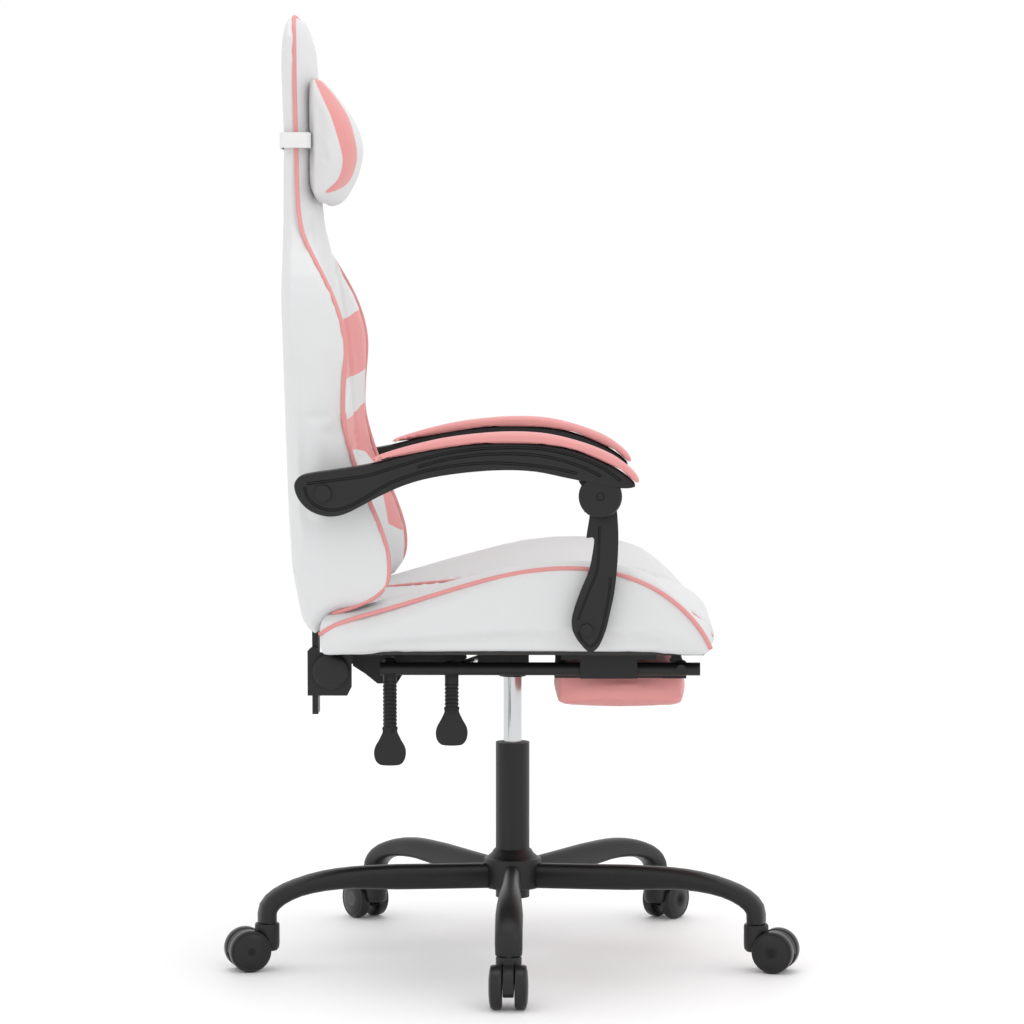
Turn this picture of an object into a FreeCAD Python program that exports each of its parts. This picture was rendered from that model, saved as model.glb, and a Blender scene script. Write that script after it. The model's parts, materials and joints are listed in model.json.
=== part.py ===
import FreeCAD, Part
import math
import os
import re

import Sketcher
from FreeCAD import Placement, Rotation, Vector

# Gaming chair on a five-arm caster base, with a gas lift, a reclining back whose
# armrests follow it on front legs, and a slide-out footrest.
# Millimetres, +Z up, the sitter faces -Y, origin on the floor under the gas lift.

SIZES = {
    # star base: welded steel hub and five oval-tube arms
    "caster_radius": 358,
    "hub_radius": 41,
    "hub_bottom": 98,
    "hub_height": 41,
    "hub_cone_height": 14,
    "hub_cone_radius": 27,
    "arm_root_height": 115,
    "arm_bend_radius": 235,
    "arm_bend_height": 122,
    "arm_root_tall": 36,
    "arm_wide": 30,
    "arm_tip_thick": 25,
    "arm_tip_height": 66,
    "arm_tip_straight": 12,
    # casters
    "wheel_radius": 29,
    "wheel_width": 17.5,
    "wheel_gap": 16,
    "wheel_trail": 28,
    "wheel_clearance": 0.6,
    "axle_radius": 4,
    "axle_end_gap": 3,
    "stem_radius": 5.5,
    "stem_bite": 16,
    "sleeve_wall": 2.5,
    "neck_radius": 17,
    "neck_bottom": 27,
    "running_gap": 0.05,
    # gas lift
    "column_radius": 24,
    "column_wall": 1.5,
    "column_foot": 84,
    "column_foot_wall": 3,
    "column_top": 305,
    "bushing_length": 90,
    "rod_radius": 5,
    "clip_radius": 9,
    "clip_thick": 2,
    "bearing_radius": 14,
    "bearing_thick": 8,
    "cylinder_radius": 13,
    "cylinder_bore": 10,
    "cylinder_engaged": 80,
    "cylinder_cap": 14,
    "cylinder_top": 428,
    "pin_radius": 3,
    "pin_length": 20,
    "pin_stands": 8,
    # seat mechanism under the board
    "mechanism_width": 190,
    "mechanism_front": -24,
    "mechanism_rear": 221,
    "mechanism_sheet": 4,
    "mechanism_skirt": 28,
    "mechanism_lobe": 55,
    "socket_radius": 19,
    "socket_height": 50,
    "bolt_radius": 4,
    "bolt_head_radius": 7,
    "bolt_head_thick": 5,
    "bolt_margin": 22,
    # seat
    "seat_half_width": 258,
    "seat_front": -287,
    "seat_rear": 258,
    "seat_bottom": 453,
    "seat_crown": 121,
    "bolster_width": 78,
    "board_half_width": 240,
    "board_front": -262,
    "board_rear": 240,
    "board_thick": 12,
    "board_gap": 0.4,
    # height lever and recline lever
    "lever_rod_radius": 4,
    "lever_reach": 140,
    "height_lever_rear": 82,
    "height_lever_inner": 441,
    "height_lever_outer": 426,
    "height_lever_drop": 109,
    "height_lever_lift": 5,
    "height_lever_pivot_share": 0.132,
    "lever_slot_play": 4,
    "recline_lever_rear": 167,
    "recline_lever_height": 431,
    "recline_lever_drop": 141,
    "recline_lever_reach": 146,
    "recline_lever_inner": 70,
    "grip_radius": 9.5,
    "grip_ribs": 7,
    "grip_rib_pitch": 7,
    "paddle_half_width": 22,
    "paddle_height": 46,
    "paddle_thick": 11,
    # recline hinge
    "hinge_rear": 244,
    "hinge_height": 428,
    "hinge_half_width": 207,
    "plate_thick": 5,
    "plate_gap": 1,
    "plate_front": 216,
    "plate_rear": 276,
    "plate_bottom": 394,
    "hinge_pin_radius": 8,
    "cover_radius": 24.5,
    "cover_thick": 14,
    "spring_wire": 2,
    "spring_width": 6,
    "upright_width": 40,
    "upright_thick": 8,
    "upright_rear": 270,
    "upright_bottom": 368,
    "upright_top": 640,
    # back
    "back_half_width": 260,
    "back_rear": 323,
    "back_bottom": 467,
    "back_height": 864,
    "wing_width": 80,
    "head_half_width": 140,
    "panel_thick": 4,
    "panel_half_width": 226,
    "frame_tube_radius": 9,
    "frame_half_width": 186,
    "frame_rear": 279,
    "frame_bottom": 560,
    "frame_shoulder": 990,
    "frame_head_half_width": 105,
    "frame_head_rear": 300,
    "frame_head_top": 1270,
    # head pillow
    "pillow_half_width": 128,
    "pillow_rear": 275,
    "pillow_depth": 60,
    "pillow_bottom": 1060,
    "pillow_height": 186,
    "strap_bottom": 1139,
    "strap_width": 21,
    "strap_thick": 2,
    "strap_gap": 1,
    # armrests
    "arm_inner": 270,
    "arm_thick": 36,
    "arm_front": -168,
    "arm_length": 454,
    "arm_low": 644,
    "arm_height": 98,
    "arm_pivot_rear": 248,
    "arm_pivot_height": 675,
    "arm_pivot_slack": 4.5,
    "pad_half_thick": 30,
    "ear_thick": 13,
    "ear_radius": 18,
    "elbow_rear": -121,
    "elbow_height": 671,
    "elbow_cap_radius": 29,
    "elbow_cap_thick": 9,
    "elbow_pin_radius": 6,
    "leg_inner": 264,
    "leg_thick": 18,
    "leg_knuckle_radius": 20,
    "leg_foot_rear": -103,
    "leg_foot_height": 491,
    "side_bolt_radius": 5,
    "side_bolt_grip": 22,
    "arm_bolt_head": 11,
    "leg_bolt_head": 8,
    "side_bolt_head_thick": 5,
    "leg_bracket_thick": 4,
    "leg_bracket_half_length": 28,
    "leg_bracket_height": 54,
    # footrest
    "rail_radius": 9,
    "rail_bore": 6.5,
    "rail_half_spacing": 170,
    "rail_height": 427,
    "rail_front": -259,
    "rail_rear": 179,
    "rail_solid_tip": 42,
    "saddle_front": -173,
    "saddle_rear": -95,
    "saddle_half_width": 14,
    "saddle_wing": 26,
    "saddle_wing_thick": 12,
    "saddle_wall": 3,
    "footrest_half_width": 148,
    "footrest_front": -241,
    "footrest_rear": -60,
    "footrest_bottom": 373,
    "footrest_top": 421,
    "footrest_board_thick": 9,
    "footrest_pivot": -233,
    "footrest_ear_thick": 4,
    "footrest_ear_radius": 11,
    "footrest_screw_radius": 4,
    "footrest_screw_head": 7,
}

CASTERS = 5
FIRST_ARM_ANGLE = 180
X_AXIS, Y_AXIS, Z_AXIS = Vector(1, 0, 0), Vector(0, 1, 0), Vector(0, 0, 1)
TURN = {"x": Rotation(Y_AXIS, 90), "y": Rotation(X_AXIS, -90), "z": Rotation(Z_AXIS, 0)}

doc = FreeCAD.newDocument("gaming_chair")
sheet = doc.addObject("Spreadsheet::Sheet", "sizes")
for row, (name, size) in enumerate(SIZES.items(), start=1):
    sheet.set(f"A{row}", name)
    sheet.set(f"B{row}", str(size))
    sheet.setAlias(f"B{row}", name)
doc.recompute()

kept = []


def size(name):
    return float(getattr(sheet, name))


def linked(formula):
    """Point each size named in a formula at its cell."""
    return re.sub(r"[a-z]\w+", lambda word: f"sizes.{word[0]}" if word[0] in SIZES else word[0], str(formula))


def bind(item, **formulas):
    for name, formula in formulas.items():
        item.setExpression(name, linked(formula))


def place(item, x=0, y=0, z=0, turn=None):
    if turn:
        item.Placement = Placement(Vector(), turn)
    for letter, formula in zip("xyz", (x, y, z)):
        item.setExpression(f"Placement.Base.{letter}", linked(formula))
    return item


def keep(item, label):
    item.Label = label
    kept.append(item)
    return item


def box(label, x, y, z, length, width, height):
    item = doc.addObject("Part::Box", label)
    bind(item, Length=length, Width=width, Height=height)
    return place(item, x, y, z)


def cylinder(label, radius, length, x=0, y=0, z=0, along="z"):
    item = doc.addObject("Part::Cylinder", label)
    bind(item, Radius=radius, Height=length)
    return place(item, x, y, z, TURN[along])


def fuse(label, *items):
    item = doc.addObject("Part::MultiFuse", label)
    item.Shapes = list(items)
    return item


def cut(label, base, *tools):
    item = doc.addObject("Part::Cut", label)
    item.Base = base
    item.Tool = tools[0] if len(tools) == 1 else fuse(label + "_tools", *tools)
    return item


def group(label, *items):
    item = doc.addObject("Part::Compound", label)
    item.Links = list(items)
    return item


def mirrored(label, source):
    """The left-hand twin of a right-hand piece, across the chair's middle plane."""
    item = doc.addObject("Part::Mirroring", label)
    item.Source = source
    item.Normal = X_AXIS
    return item


def outline(body, plane, corners):
    """A closed sketch through corners whose two coordinates are formulas of the sizes."""
    sketch = body.newObject("Sketcher::SketchObject", body.Name + "_outline")
    support = [item for item in body.Origin.OriginFeatures if item.Role == plane][0]
    sketch.AttachmentSupport = (support, [""])
    sketch.MapMode = "FlatFace"
    spots = [Vector(*(eval_formula(part) for part in corner), 0) for corner in corners]
    for index, spot in enumerate(spots):
        sketch.addGeometry(Part.LineSegment(spot, spots[(index + 1) % len(spots)]), False)
    for index in range(len(spots)):
        follower = (index + 1) % len(spots)
        sketch.addConstraint(Sketcher.Constraint("Coincident", index, 2, follower, 1))
    for index, (corner, spot) in enumerate(zip(corners, spots)):
        for kind, formula, value in zip(("DistanceX", "DistanceY"), corner, spot):
            name = f"corner{index}_{kind[-1].lower()}"
            number = sketch.addConstraint(Sketcher.Constraint(kind, -1, 1, index, 1, value))
            sketch.renameConstraint(number, name)
            sketch.setExpression(f"Constraints.{name}", linked(formula))
    return sketch


def eval_formula(formula):
    """The number that a formula of the sizes has now."""
    probe = sheet.evalExpression(linked(formula))
    return float(getattr(probe, "Value", probe))


def slab(label, corners, left, thick, plane="YZ_Plane"):
    """A side outline (rearward, upward) given a thickness across the chair, from x = left."""
    body = doc.addObject("PartDesign::Body", label)
    sketch = outline(body, plane, corners)
    pad = body.newObject("PartDesign::Pad", label + "_pad")
    pad.Profile = sketch
    bind(pad, Length=thick)
    sketch.Visibility = False
    return place(body, x=left)


def turned(label, corners):
    """A half section (radius, height) revolved about the body's own Z axis."""
    body = doc.addObject("PartDesign::Body", label)
    sketch = outline(body, "XZ_Plane", corners)
    spin = body.newObject("PartDesign::Revolution", label + "_spin")
    spin.Profile = sketch
    spin.ReferenceAxis = (sketch, ["V_Axis"])
    spin.Angle = 360
    return body


def side_points(shares, front, length, low, height):
    """Outline points given as shares of a length and of a height."""
    return [(f"{front} + {along} * {length}", f"{low} + {up} * {height}") for along, up in shares]


# Star base: pressed and welded steel. Each arm is a tube that leaves the hub tall and
# narrow, is flattened as it bends down, and ends over a caster.

def arm_outline():
    """Side view of an arm: out from the hub, then down a quarter of an ellipse to its tip."""
    bend, reach = size("arm_bend_radius"), size("caster_radius")
    high, tip = size("arm_bend_height"), size("arm_tip_height")
    foot = tip + size("arm_tip_straight")
    root, end = size("arm_root_tall") / 2, size("arm_tip_thick") / 2
    stations = [(size("column_radius") - 2, size("arm_root_height"), root, 0)]
    for degrees in range(0, 91, 15):
        lean, share = math.radians(degrees), min(1, degrees / 30)
        across, down = (reach - bend) * math.sin(lean), (high - foot) * (1 - math.cos(lean))
        slope = math.atan2((high - foot) * math.sin(lean), (reach - bend) * math.cos(lean))
        stations.append((bend + across, high - down, root + (end - root) * share, slope))
    stations.append((reach, tip, end, math.pi / 2))
    above = [(r + half * math.sin(slope), z + half * math.cos(slope)) for r, z, half, slope in stations]
    below = [(r - half * math.sin(slope), z - half * math.cos(slope)) for r, z, half, slope in stations]
    return [(f"{r:.6f}", f"{z:.6f}") for r, z in above + below[::-1]]


def spoke_angle(index):
    return FIRST_ARM_ANGLE + index * 360 / CASTERS


def spoke_turn(index):
    return Rotation(Z_AXIS, spoke_angle(index))


arms, sleeve_bores, sleeves = [], [], []
for spoke in range(CASTERS):
    arm = group(f"arm_{spoke + 1}", slab(f"arm_tube_{spoke + 1}", arm_outline(), "-arm_wide / 2", "arm_wide"))
    arm.Placement = Placement(Vector(), Rotation(Z_AXIS, spoke_angle(spoke) - 90))
    arms.append(arm)
    bore = cylinder(f"sleeve_bore_{spoke + 1}", "stem_radius + sleeve_wall", "stem_bite + 2")
    lining = cut(f"sleeve_{spoke + 1}",
                 cylinder(f"sleeve_wall_{spoke + 1}", "stem_radius + sleeve_wall", "stem_bite + 2"),
                 cylinder(f"sleeve_hole_{spoke + 1}", "stem_radius + running_gap", "stem_bite + 1"))
    angle = math.radians(spoke_angle(spoke))
    for item in (bore, lining):
        place(item, f"caster_radius * {math.cos(angle):.9f}", f"caster_radius * {math.sin(angle):.9f}",
              "arm_tip_height")
    sleeve_bores.append(bore)
    sleeves.append(lining)

hub = cylinder("hub_barrel", "hub_radius", "hub_height", z="hub_bottom")
hub_cone = doc.addObject("Part::Cone", "hub_cone")
bind(hub_cone, Radius1="hub_radius", Radius2="hub_cone_radius", Height="hub_cone_height")
place(hub_cone, z="hub_bottom + hub_height")
star = fuse("star_weldment", hub, hub_cone, *arms)
hub_bore = cylinder("hub_bore", "column_radius", "hub_height + 2 * hub_cone_height + 20", z="hub_bottom - 10")
keep(cut("star_base", star, hub_bore, *sleeve_bores), "star_base")
keep(group("caster_sleeves", *sleeves), "caster_sleeves")

# Casters: a moulded housing with its neck and web, a steel stem and axle, and twin wheels
# that trail outwards.

for spoke in range(CASTERS):
    number = spoke + 1
    turn = spoke_turn(spoke)
    neck = cylinder(f"neck_{number}", "neck_radius", "arm_tip_height - neck_bottom - 1",
                    x="caster_radius", z="neck_bottom")
    web = cylinder(f"web_{number}", "wheel_radius - 2", "wheel_gap - 2 * wheel_clearance",
                   "caster_radius + wheel_trail", "-(wheel_gap / 2 - wheel_clearance)", "wheel_radius", "y")
    under = box(f"web_underside_{number}", "caster_radius + wheel_trail / 4", "-wheel_gap", "-wheel_radius",
                "2 * wheel_radius + wheel_trail", "2 * wheel_gap", "2 * wheel_radius - axle_radius * 2")
    wells = [cylinder(f"wheel_well_{side}_{number}", "wheel_radius + 1", "wheel_width + neck_radius",
                      "caster_radius + wheel_trail", start, "wheel_radius", "y")
             for side, start in (("a", "wheel_gap / 2 - wheel_clearance"),
                                 ("b", "-(wheel_gap / 2 - wheel_clearance) - wheel_width - neck_radius"))]
    axle_seat = cylinder(f"axle_seat_{number}", "axle_radius", "wheel_gap", "caster_radius + wheel_trail",
                         "-wheel_gap / 2", "wheel_radius", "y")
    stem_seat = cylinder(f"stem_seat_{number}", "stem_radius", "arm_tip_height", x="caster_radius",
                         z="neck_bottom + 8")
    web_part = cut(f"web_trimmed_{number}", web, under)
    axle_boss = cylinder(f"axle_boss_{number}", "axle_radius * 2.4", "wheel_gap - 2 * wheel_clearance",
                         "caster_radius + wheel_trail", "-(wheel_gap / 2 - wheel_clearance)",
                         "wheel_radius", "y")
    shell = fuse(f"housing_shell_{number}", neck, web_part, axle_boss)
    housing = cut(f"caster_housing_{number}", shell, *wells, axle_seat, stem_seat)
    stem = cylinder(f"stem_{number}", "stem_radius", "arm_tip_height - neck_bottom - 8 + stem_bite",
                    x="caster_radius", z="neck_bottom + 8")
    axle = cylinder(f"axle_{number}", "axle_radius", "wheel_gap + 2 * (wheel_width - axle_end_gap)",
                    "caster_radius + wheel_trail", "-(wheel_gap / 2 + wheel_width - axle_end_gap)",
                    "wheel_radius", "y")
    pins = group(f"caster_pins_{number}", stem, axle)
    section = [("axle_radius + running_gap", "wheel_gap / 2"),
               ("wheel_radius - 3", "wheel_gap / 2"),
               ("wheel_radius", "wheel_gap / 2 + 3"),
               ("wheel_radius", "wheel_gap / 2 + wheel_width - 5"),
               ("wheel_radius - 4", "wheel_gap / 2 + wheel_width - 1"),
               ("wheel_radius - 8", "wheel_gap / 2 + wheel_width"),
               ("0", "wheel_gap / 2 + wheel_width"),
               ("0", "wheel_gap / 2 + wheel_width - axle_end_gap + 0.4"),
               ("axle_radius + running_gap", "wheel_gap / 2 + wheel_width - axle_end_gap + 0.4")]
    wheels = []
    for side, facing in (("a", -90), ("b", 90)):
        wheel = turned(f"wheel_{side}_{number}", section)
        place(wheel, "caster_radius + wheel_trail", 0, "wheel_radius", Rotation(X_AXIS, facing))
        wheels.append(wheel)
    pair = group(f"caster_wheels_{number}", *wheels)
    for item in (housing, pins, pair):
        item.Placement = Placement(Vector(), turn)
        keep(item, item.Name)

# Gas lift: the outer tube stands in the hub, the cylinder rises out of its plastic bushing,
# and the piston rod turns on a thrust bearing and is held under the tube by a clip.

column = cylinder("column_outer", "column_radius", "column_top - column_foot", z="column_foot")
column_void = cylinder("column_void", "column_radius - column_wall", "column_top - column_foot",
                       z="column_foot + column_foot_wall")
rod_hole = cylinder("rod_hole", "rod_radius + running_gap", "column_foot_wall + 2", z="column_foot - 1")
keep(cut("column_tube", column, column_void, rod_hole), "column_tube")

bushing = cylinder("bushing_outer", "column_radius - column_wall", "bushing_length",
                   z="column_top - bushing_length")
bushing_bore = cylinder("bushing_bore", "cylinder_radius + running_gap", "bushing_length + 2",
                        z="column_top - bushing_length - 1")
keep(cut("column_bushing", bushing, bushing_bore), "column_bushing")

clip = cylinder("clip_disc", "clip_radius", "clip_thick", z="column_foot - clip_thick")
clip_hole = cylinder("clip_hole", "rod_radius + running_gap", "clip_thick + 2",
                     z="column_foot - clip_thick - 1")
keep(cut("retaining_clip", clip, clip_hole), "retaining_clip")

bearing = cylinder("bearing_rings", "bearing_radius", "bearing_thick", z="column_foot + column_foot_wall")
bearing_hole = cylinder("bearing_hole", "rod_radius + running_gap", "bearing_thick + 2",
                        z="column_foot + column_foot_wall - 1")
keep(cut("thrust_bearing", bearing, bearing_hole), "thrust_bearing")

rod_bottom = "(column_foot - clip_thick - 2)"
cylinder_bottom = "(column_top - cylinder_engaged)"
rod_top = f"({cylinder_bottom} + 2 * cylinder_cap + 8)"
keep(cylinder("piston_rod", "rod_radius", f"{rod_top} - {rod_bottom}", z=rod_bottom), "piston_rod")

barrel = cylinder("cylinder_barrel", "cylinder_radius", f"cylinder_top - {cylinder_bottom}",
                  z=cylinder_bottom)
barrel_void = cylinder("cylinder_void", "cylinder_bore",
                       f"cylinder_top - {cylinder_bottom} - 2 * cylinder_cap",
                       z=f"{cylinder_bottom} + cylinder_cap")
seal_hole = cylinder("seal_hole", "rod_radius + running_gap", "cylinder_cap + 2", z=f"{cylinder_bottom} - 1")
pin_hole = cylinder("pin_hole", "pin_radius + running_gap", "cylinder_cap + 2",
                    z="cylinder_top - cylinder_cap - 1")
keep(cut("gas_cylinder", barrel, barrel_void, seal_hole, pin_hole), "gas_cylinder")
keep(cylinder("release_pin", "pin_radius", "pin_length", z="cylinder_top + pin_stands - pin_length"),
     "release_pin")

# Seat mechanism: a folded steel tray under the board, with the tapered socket for the
# cylinder and a deeper lobe at its right-hand rear, where the recline lever pivots.

half_tray = "mechanism_width / 2"
tray_length = "(mechanism_rear - mechanism_front)"
sheet_top = box("tray_sheet", f"-{half_tray}", "mechanism_front", "seat_bottom - mechanism_sheet",
                "mechanism_width", tray_length, "mechanism_sheet")
skirt_low = "seat_bottom - mechanism_skirt"
lobe_low = "seat_bottom - mechanism_lobe"
flange_corners = [("mechanism_front", "seat_bottom"), ("mechanism_front", skirt_low),
                  ("mechanism_front + 0.68 * (mechanism_rear - mechanism_front)", skirt_low),
                  ("mechanism_front + 0.75 * (mechanism_rear - mechanism_front)", lobe_low),
                  ("mechanism_front + 0.86 * (mechanism_rear - mechanism_front)", lobe_low),
                  ("mechanism_front + 0.93 * (mechanism_rear - mechanism_front)",
                   "seat_bottom - 0.75 * mechanism_lobe"),
                  ("mechanism_rear", "seat_bottom - 0.55 * mechanism_lobe"),
                  ("mechanism_rear", "seat_bottom")]
flange_right = slab("tray_flange_right", flange_corners, f"-{half_tray}", "mechanism_sheet")
flange_left = slab("tray_flange_left", flange_corners, f"{half_tray} - mechanism_sheet", "mechanism_sheet")
socket = cylinder("cylinder_socket", "socket_radius", "socket_height",
                  z="seat_bottom - mechanism_sheet - socket_height")
tray = fuse("tray_weldment", sheet_top, flange_right, flange_left, socket)
socket_bore = cylinder("socket_bore", "cylinder_radius", "socket_height + 1",
                       z="seat_bottom - mechanism_sheet - socket_height - 1")

# The height lever's rod runs from over the release pin, out through the socket and the
# flange, to its grip beside the seat.
lever_start = Vector(4, 0, size("height_lever_inner"))
lever_end = Vector(-size("lever_reach"), size("height_lever_rear"), size("height_lever_outer"))
lever_pivot = lever_start + (lever_end - lever_start) * size("height_lever_pivot_share")
lift_axis = Vector(lever_end.y - lever_start.y, lever_start.x - lever_end.x, 0)
lever_slots = []
for label, start, lift in (("rest", lever_start, 0), ("lifted", lever_pivot, size("height_lever_lift"))):
    lever_slot = doc.addObject("Part::Cylinder", f"height_lever_slot_{label}")
    bind(lever_slot, Radius="lever_rod_radius + lever_slot_play", Height="lever_reach")
    run = Rotation(lift_axis, lift).multVec(lever_end - lever_start)
    lever_slot.Placement = Placement(start, Rotation(Z_AXIS, run))
    lever_slots.append(lever_slot)
recline_slot = cylinder("recline_lever_slot", "lever_rod_radius + 3", "mechanism_width / 2",
                        "-mechanism_width / 2 - 10", "recline_lever_rear", "recline_lever_height", "x")

# Four bolts hold the tray to the board: heads below the sheet, shanks up through the wood.
bolts, bolt_holes = [], []
for corner, (x, y) in enumerate(((f"{half_tray} - bolt_margin", "mechanism_front + bolt_margin"),
                                 (f"{half_tray} - bolt_margin", "mechanism_rear - bolt_margin"),
                                 (f"-({half_tray} - bolt_margin)", "mechanism_front + bolt_margin"),
                                 (f"-({half_tray} - bolt_margin)", "mechanism_rear - bolt_margin"))):
    shank = cylinder(f"tray_bolt_shank_{corner}", "bolt_radius", "board_thick + mechanism_sheet", x, y,
                     "seat_bottom - mechanism_sheet")
    head = cylinder(f"tray_bolt_head_{corner}", "bolt_head_radius", "bolt_head_thick", x, y,
                    "seat_bottom - mechanism_sheet - bolt_head_thick")
    bolts.append(fuse(f"tray_bolt_{corner}", shank, head))
    bolt_holes.append(cylinder(f"tray_bolt_hole_{corner}", "bolt_radius",
                               "board_thick + mechanism_sheet + 2", x, y,
                               "seat_bottom - mechanism_sheet - 1"))
keep(group("mechanism_bolts", *bolts), "mechanism_bolts")
keep(cut("mechanism_tray", tray, socket_bore, *lever_slots, recline_slot, *bolt_holes), "mechanism_tray")

# Seat board: plywood, let into the underside of the foam.
board = box("board_blank", "-board_half_width", "board_front", "seat_bottom", "2 * board_half_width",
            "board_rear - board_front", "board_thick")
keep(cut("seat_board", board, *bolt_holes), "seat_board")

# Seat cushion: a pan of foam between two raised side bolsters.
PAN = [(0.004, 0), (0, 0.10), (0.011, 0.26), (0.06, 0.44), (0.16, 0.54), (0.34, 0.56), (0.71, 0.47),
       (1, 0.38), (1, 0)]
BOLSTER = [(0.035, 0), (0.022, 0.11), (0.046, 0.31), (0.117, 0.64), (0.182, 0.85), (0.255, 0.95),
           (0.343, 1), (0.43, 0.985), (0.519, 0.93), (0.607, 0.83), (0.815, 0.54), (0.934, 0.39),
           (0.998, 0.32), (0.998, 0)]
seat_span = ("seat_front", "(seat_rear - seat_front)", "seat_bottom", "seat_crown")
pan = slab("seat_pan", side_points(PAN, *seat_span), "-(seat_half_width - bolster_width)",
           "2 * (seat_half_width - bolster_width)")
bolster_right = slab("seat_bolster_right", side_points(BOLSTER, *seat_span), "-seat_half_width",
                     "bolster_width")
bolster_left = slab("seat_bolster_left", side_points(BOLSTER, *seat_span), "seat_half_width - bolster_width",
                    "bolster_width")
board_recess = box("board_recess", "-board_half_width - board_gap", "board_front - board_gap",
                   "seat_bottom - 1",
                   "2 * (board_half_width + board_gap)", "board_rear - board_front + 2 * board_gap",
                   "board_thick + board_gap + 1")

# Leg brackets: upright steel plates on the board's edges, inside the foam, that take the
# bolts of the armrest legs.
bracket_right = box("leg_bracket_plate", "-board_half_width", "leg_foot_rear - leg_bracket_half_length",
                    "seat_bottom + board_thick", "leg_bracket_thick", "2 * leg_bracket_half_length",
                    "leg_bracket_height")
leg_bolt_shank = cylinder("leg_bolt_shank", "side_bolt_radius",
                          "leg_inner + leg_thick - board_half_width + side_bolt_grip",
                          "-(leg_inner + leg_thick)", "leg_foot_rear", "leg_foot_height", "x")
leg_bolt_cap = cylinder("leg_bolt_cap", "leg_bolt_head", "side_bolt_head_thick",
                        "-(leg_inner + leg_thick + side_bolt_head_thick)", "leg_foot_rear",
                        "leg_foot_height", "x")
leg_bolt_right = fuse("leg_bolt_right", leg_bolt_shank, leg_bolt_cap)
leg_bracket_right = cut("leg_bracket_right", bracket_right, leg_bolt_shank)
leg_bracket_left = mirrored("leg_bracket_left", leg_bracket_right)
leg_bolt_left = mirrored("leg_bolt_left", leg_bolt_right)
keep(group("leg_mount_brackets", leg_bracket_right, leg_bracket_left), "leg_mount_brackets")
keep(group("leg_bolts", leg_bolt_right, leg_bolt_left), "leg_bolts")
foam = fuse("seat_foam", pan, bolster_right, bolster_left)
bracket_left = mirrored("leg_bracket_plate_left", bracket_right)
shank_left = mirrored("leg_bolt_shank_left", leg_bolt_shank)
keep(cut("seat_cushion", foam, board_recess, bracket_right, bracket_left, leg_bolt_shank, shank_left),
     "seat_cushion")


# Levers: bent steel rods with ribbed grips that end in flat paddles.

def bent_rod(label, start, bend, end, radius):
    """A round rod along two straight runs joined by a ball-rounded corner."""
    runs = []
    for index, (first, last) in enumerate(((start, bend), (bend, end))):
        run = doc.addObject("Part::Cylinder", f"{label}_run_{index}")
        bind(run, Radius=radius)
        run.Height = (last - first).Length
        run.Placement = Placement(first, Rotation(Z_AXIS, last - first))
        runs.append(run)
    corner = doc.addObject("Part::Sphere", f"{label}_corner")
    bind(corner, Radius=radius)
    corner.Placement.Base = bend
    return fuse(label, *runs, corner)


def grip(label, x, y, top, bottom, rod):
    """A ribbed sleeve over the hanging end of a lever rod, spread into a paddle below."""
    sleeve_low = f"({bottom} + paddle_height)"
    sleeve = cylinder(label + "_sleeve", "grip_radius - 1", f"{top} - {sleeve_low} + 6", x, y,
                      f"{sleeve_low} - 6")
    ribs = [cylinder(f"{label}_rib_{rib}", "grip_radius", "grip_rib_pitch / 2", x, y,
                     f"{sleeve_low} + {rib} * grip_rib_pitch")
            for rib in range(int(size("grip_ribs")))]
    shape = [(0.28, 1), (0.42, 1), (0.58, 1), (0.72, 1), (0.82, 0.72), (1, 0.36), (0.9, 0.1), (0.7, 0), (0.3,
                                                                                                         0),
             (0.1, 0.1), (0, 0.36), (0.18, 0.72)]
    blade = slab(label + "_paddle", side_points(shape, f"({y} - paddle_half_width)", "2 * paddle_half_width",
                                                bottom,
                                                "paddle_height"), f"{x} - paddle_thick / 2", "paddle_thick")
    cap = doc.addObject("Part::Sphere", label + "_cap")
    bind(cap, Radius="grip_radius")
    place(cap, x, y, top)
    return cut(label, fuse(label + "_moulding", sleeve, *ribs, blade, cap), rod)


height_end = Vector(lever_end.x, lever_end.y,
                    lever_end.z - size("height_lever_drop") + size("paddle_height") / 2)
height_rod = keep(bent_rod("height_lever_rod", lever_start, lever_end, height_end, "lever_rod_radius"),
                  "height_lever_rod")
keep(grip("height_lever_grip", "-lever_reach", "height_lever_rear", "height_lever_outer",
          "(height_lever_outer - height_lever_drop)", height_rod), "height_lever_grip")

recline_start = Vector(-size("recline_lever_inner"), size("recline_lever_rear"), size("recline_lever_height"))
recline_bend = Vector(-size("recline_lever_reach"), recline_start.y, recline_start.z)
recline_end = recline_bend - Vector(0, 0, size("recline_lever_drop") - size("paddle_height") / 2)
recline_rod = keep(bent_rod("recline_lever_rod", recline_start, recline_bend, recline_end,
                            "lever_rod_radius"),
                   "recline_lever_rod")
keep(grip("recline_lever_grip", "-recline_lever_reach", "recline_lever_rear", "recline_lever_height",
          "(recline_lever_height - recline_lever_drop)", recline_rod), "recline_lever_grip")

# Recline hinge: a fixed plate under each rear corner of the board, a pin through it, and
# an upright welded to the moving plate that carries the back.

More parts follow.
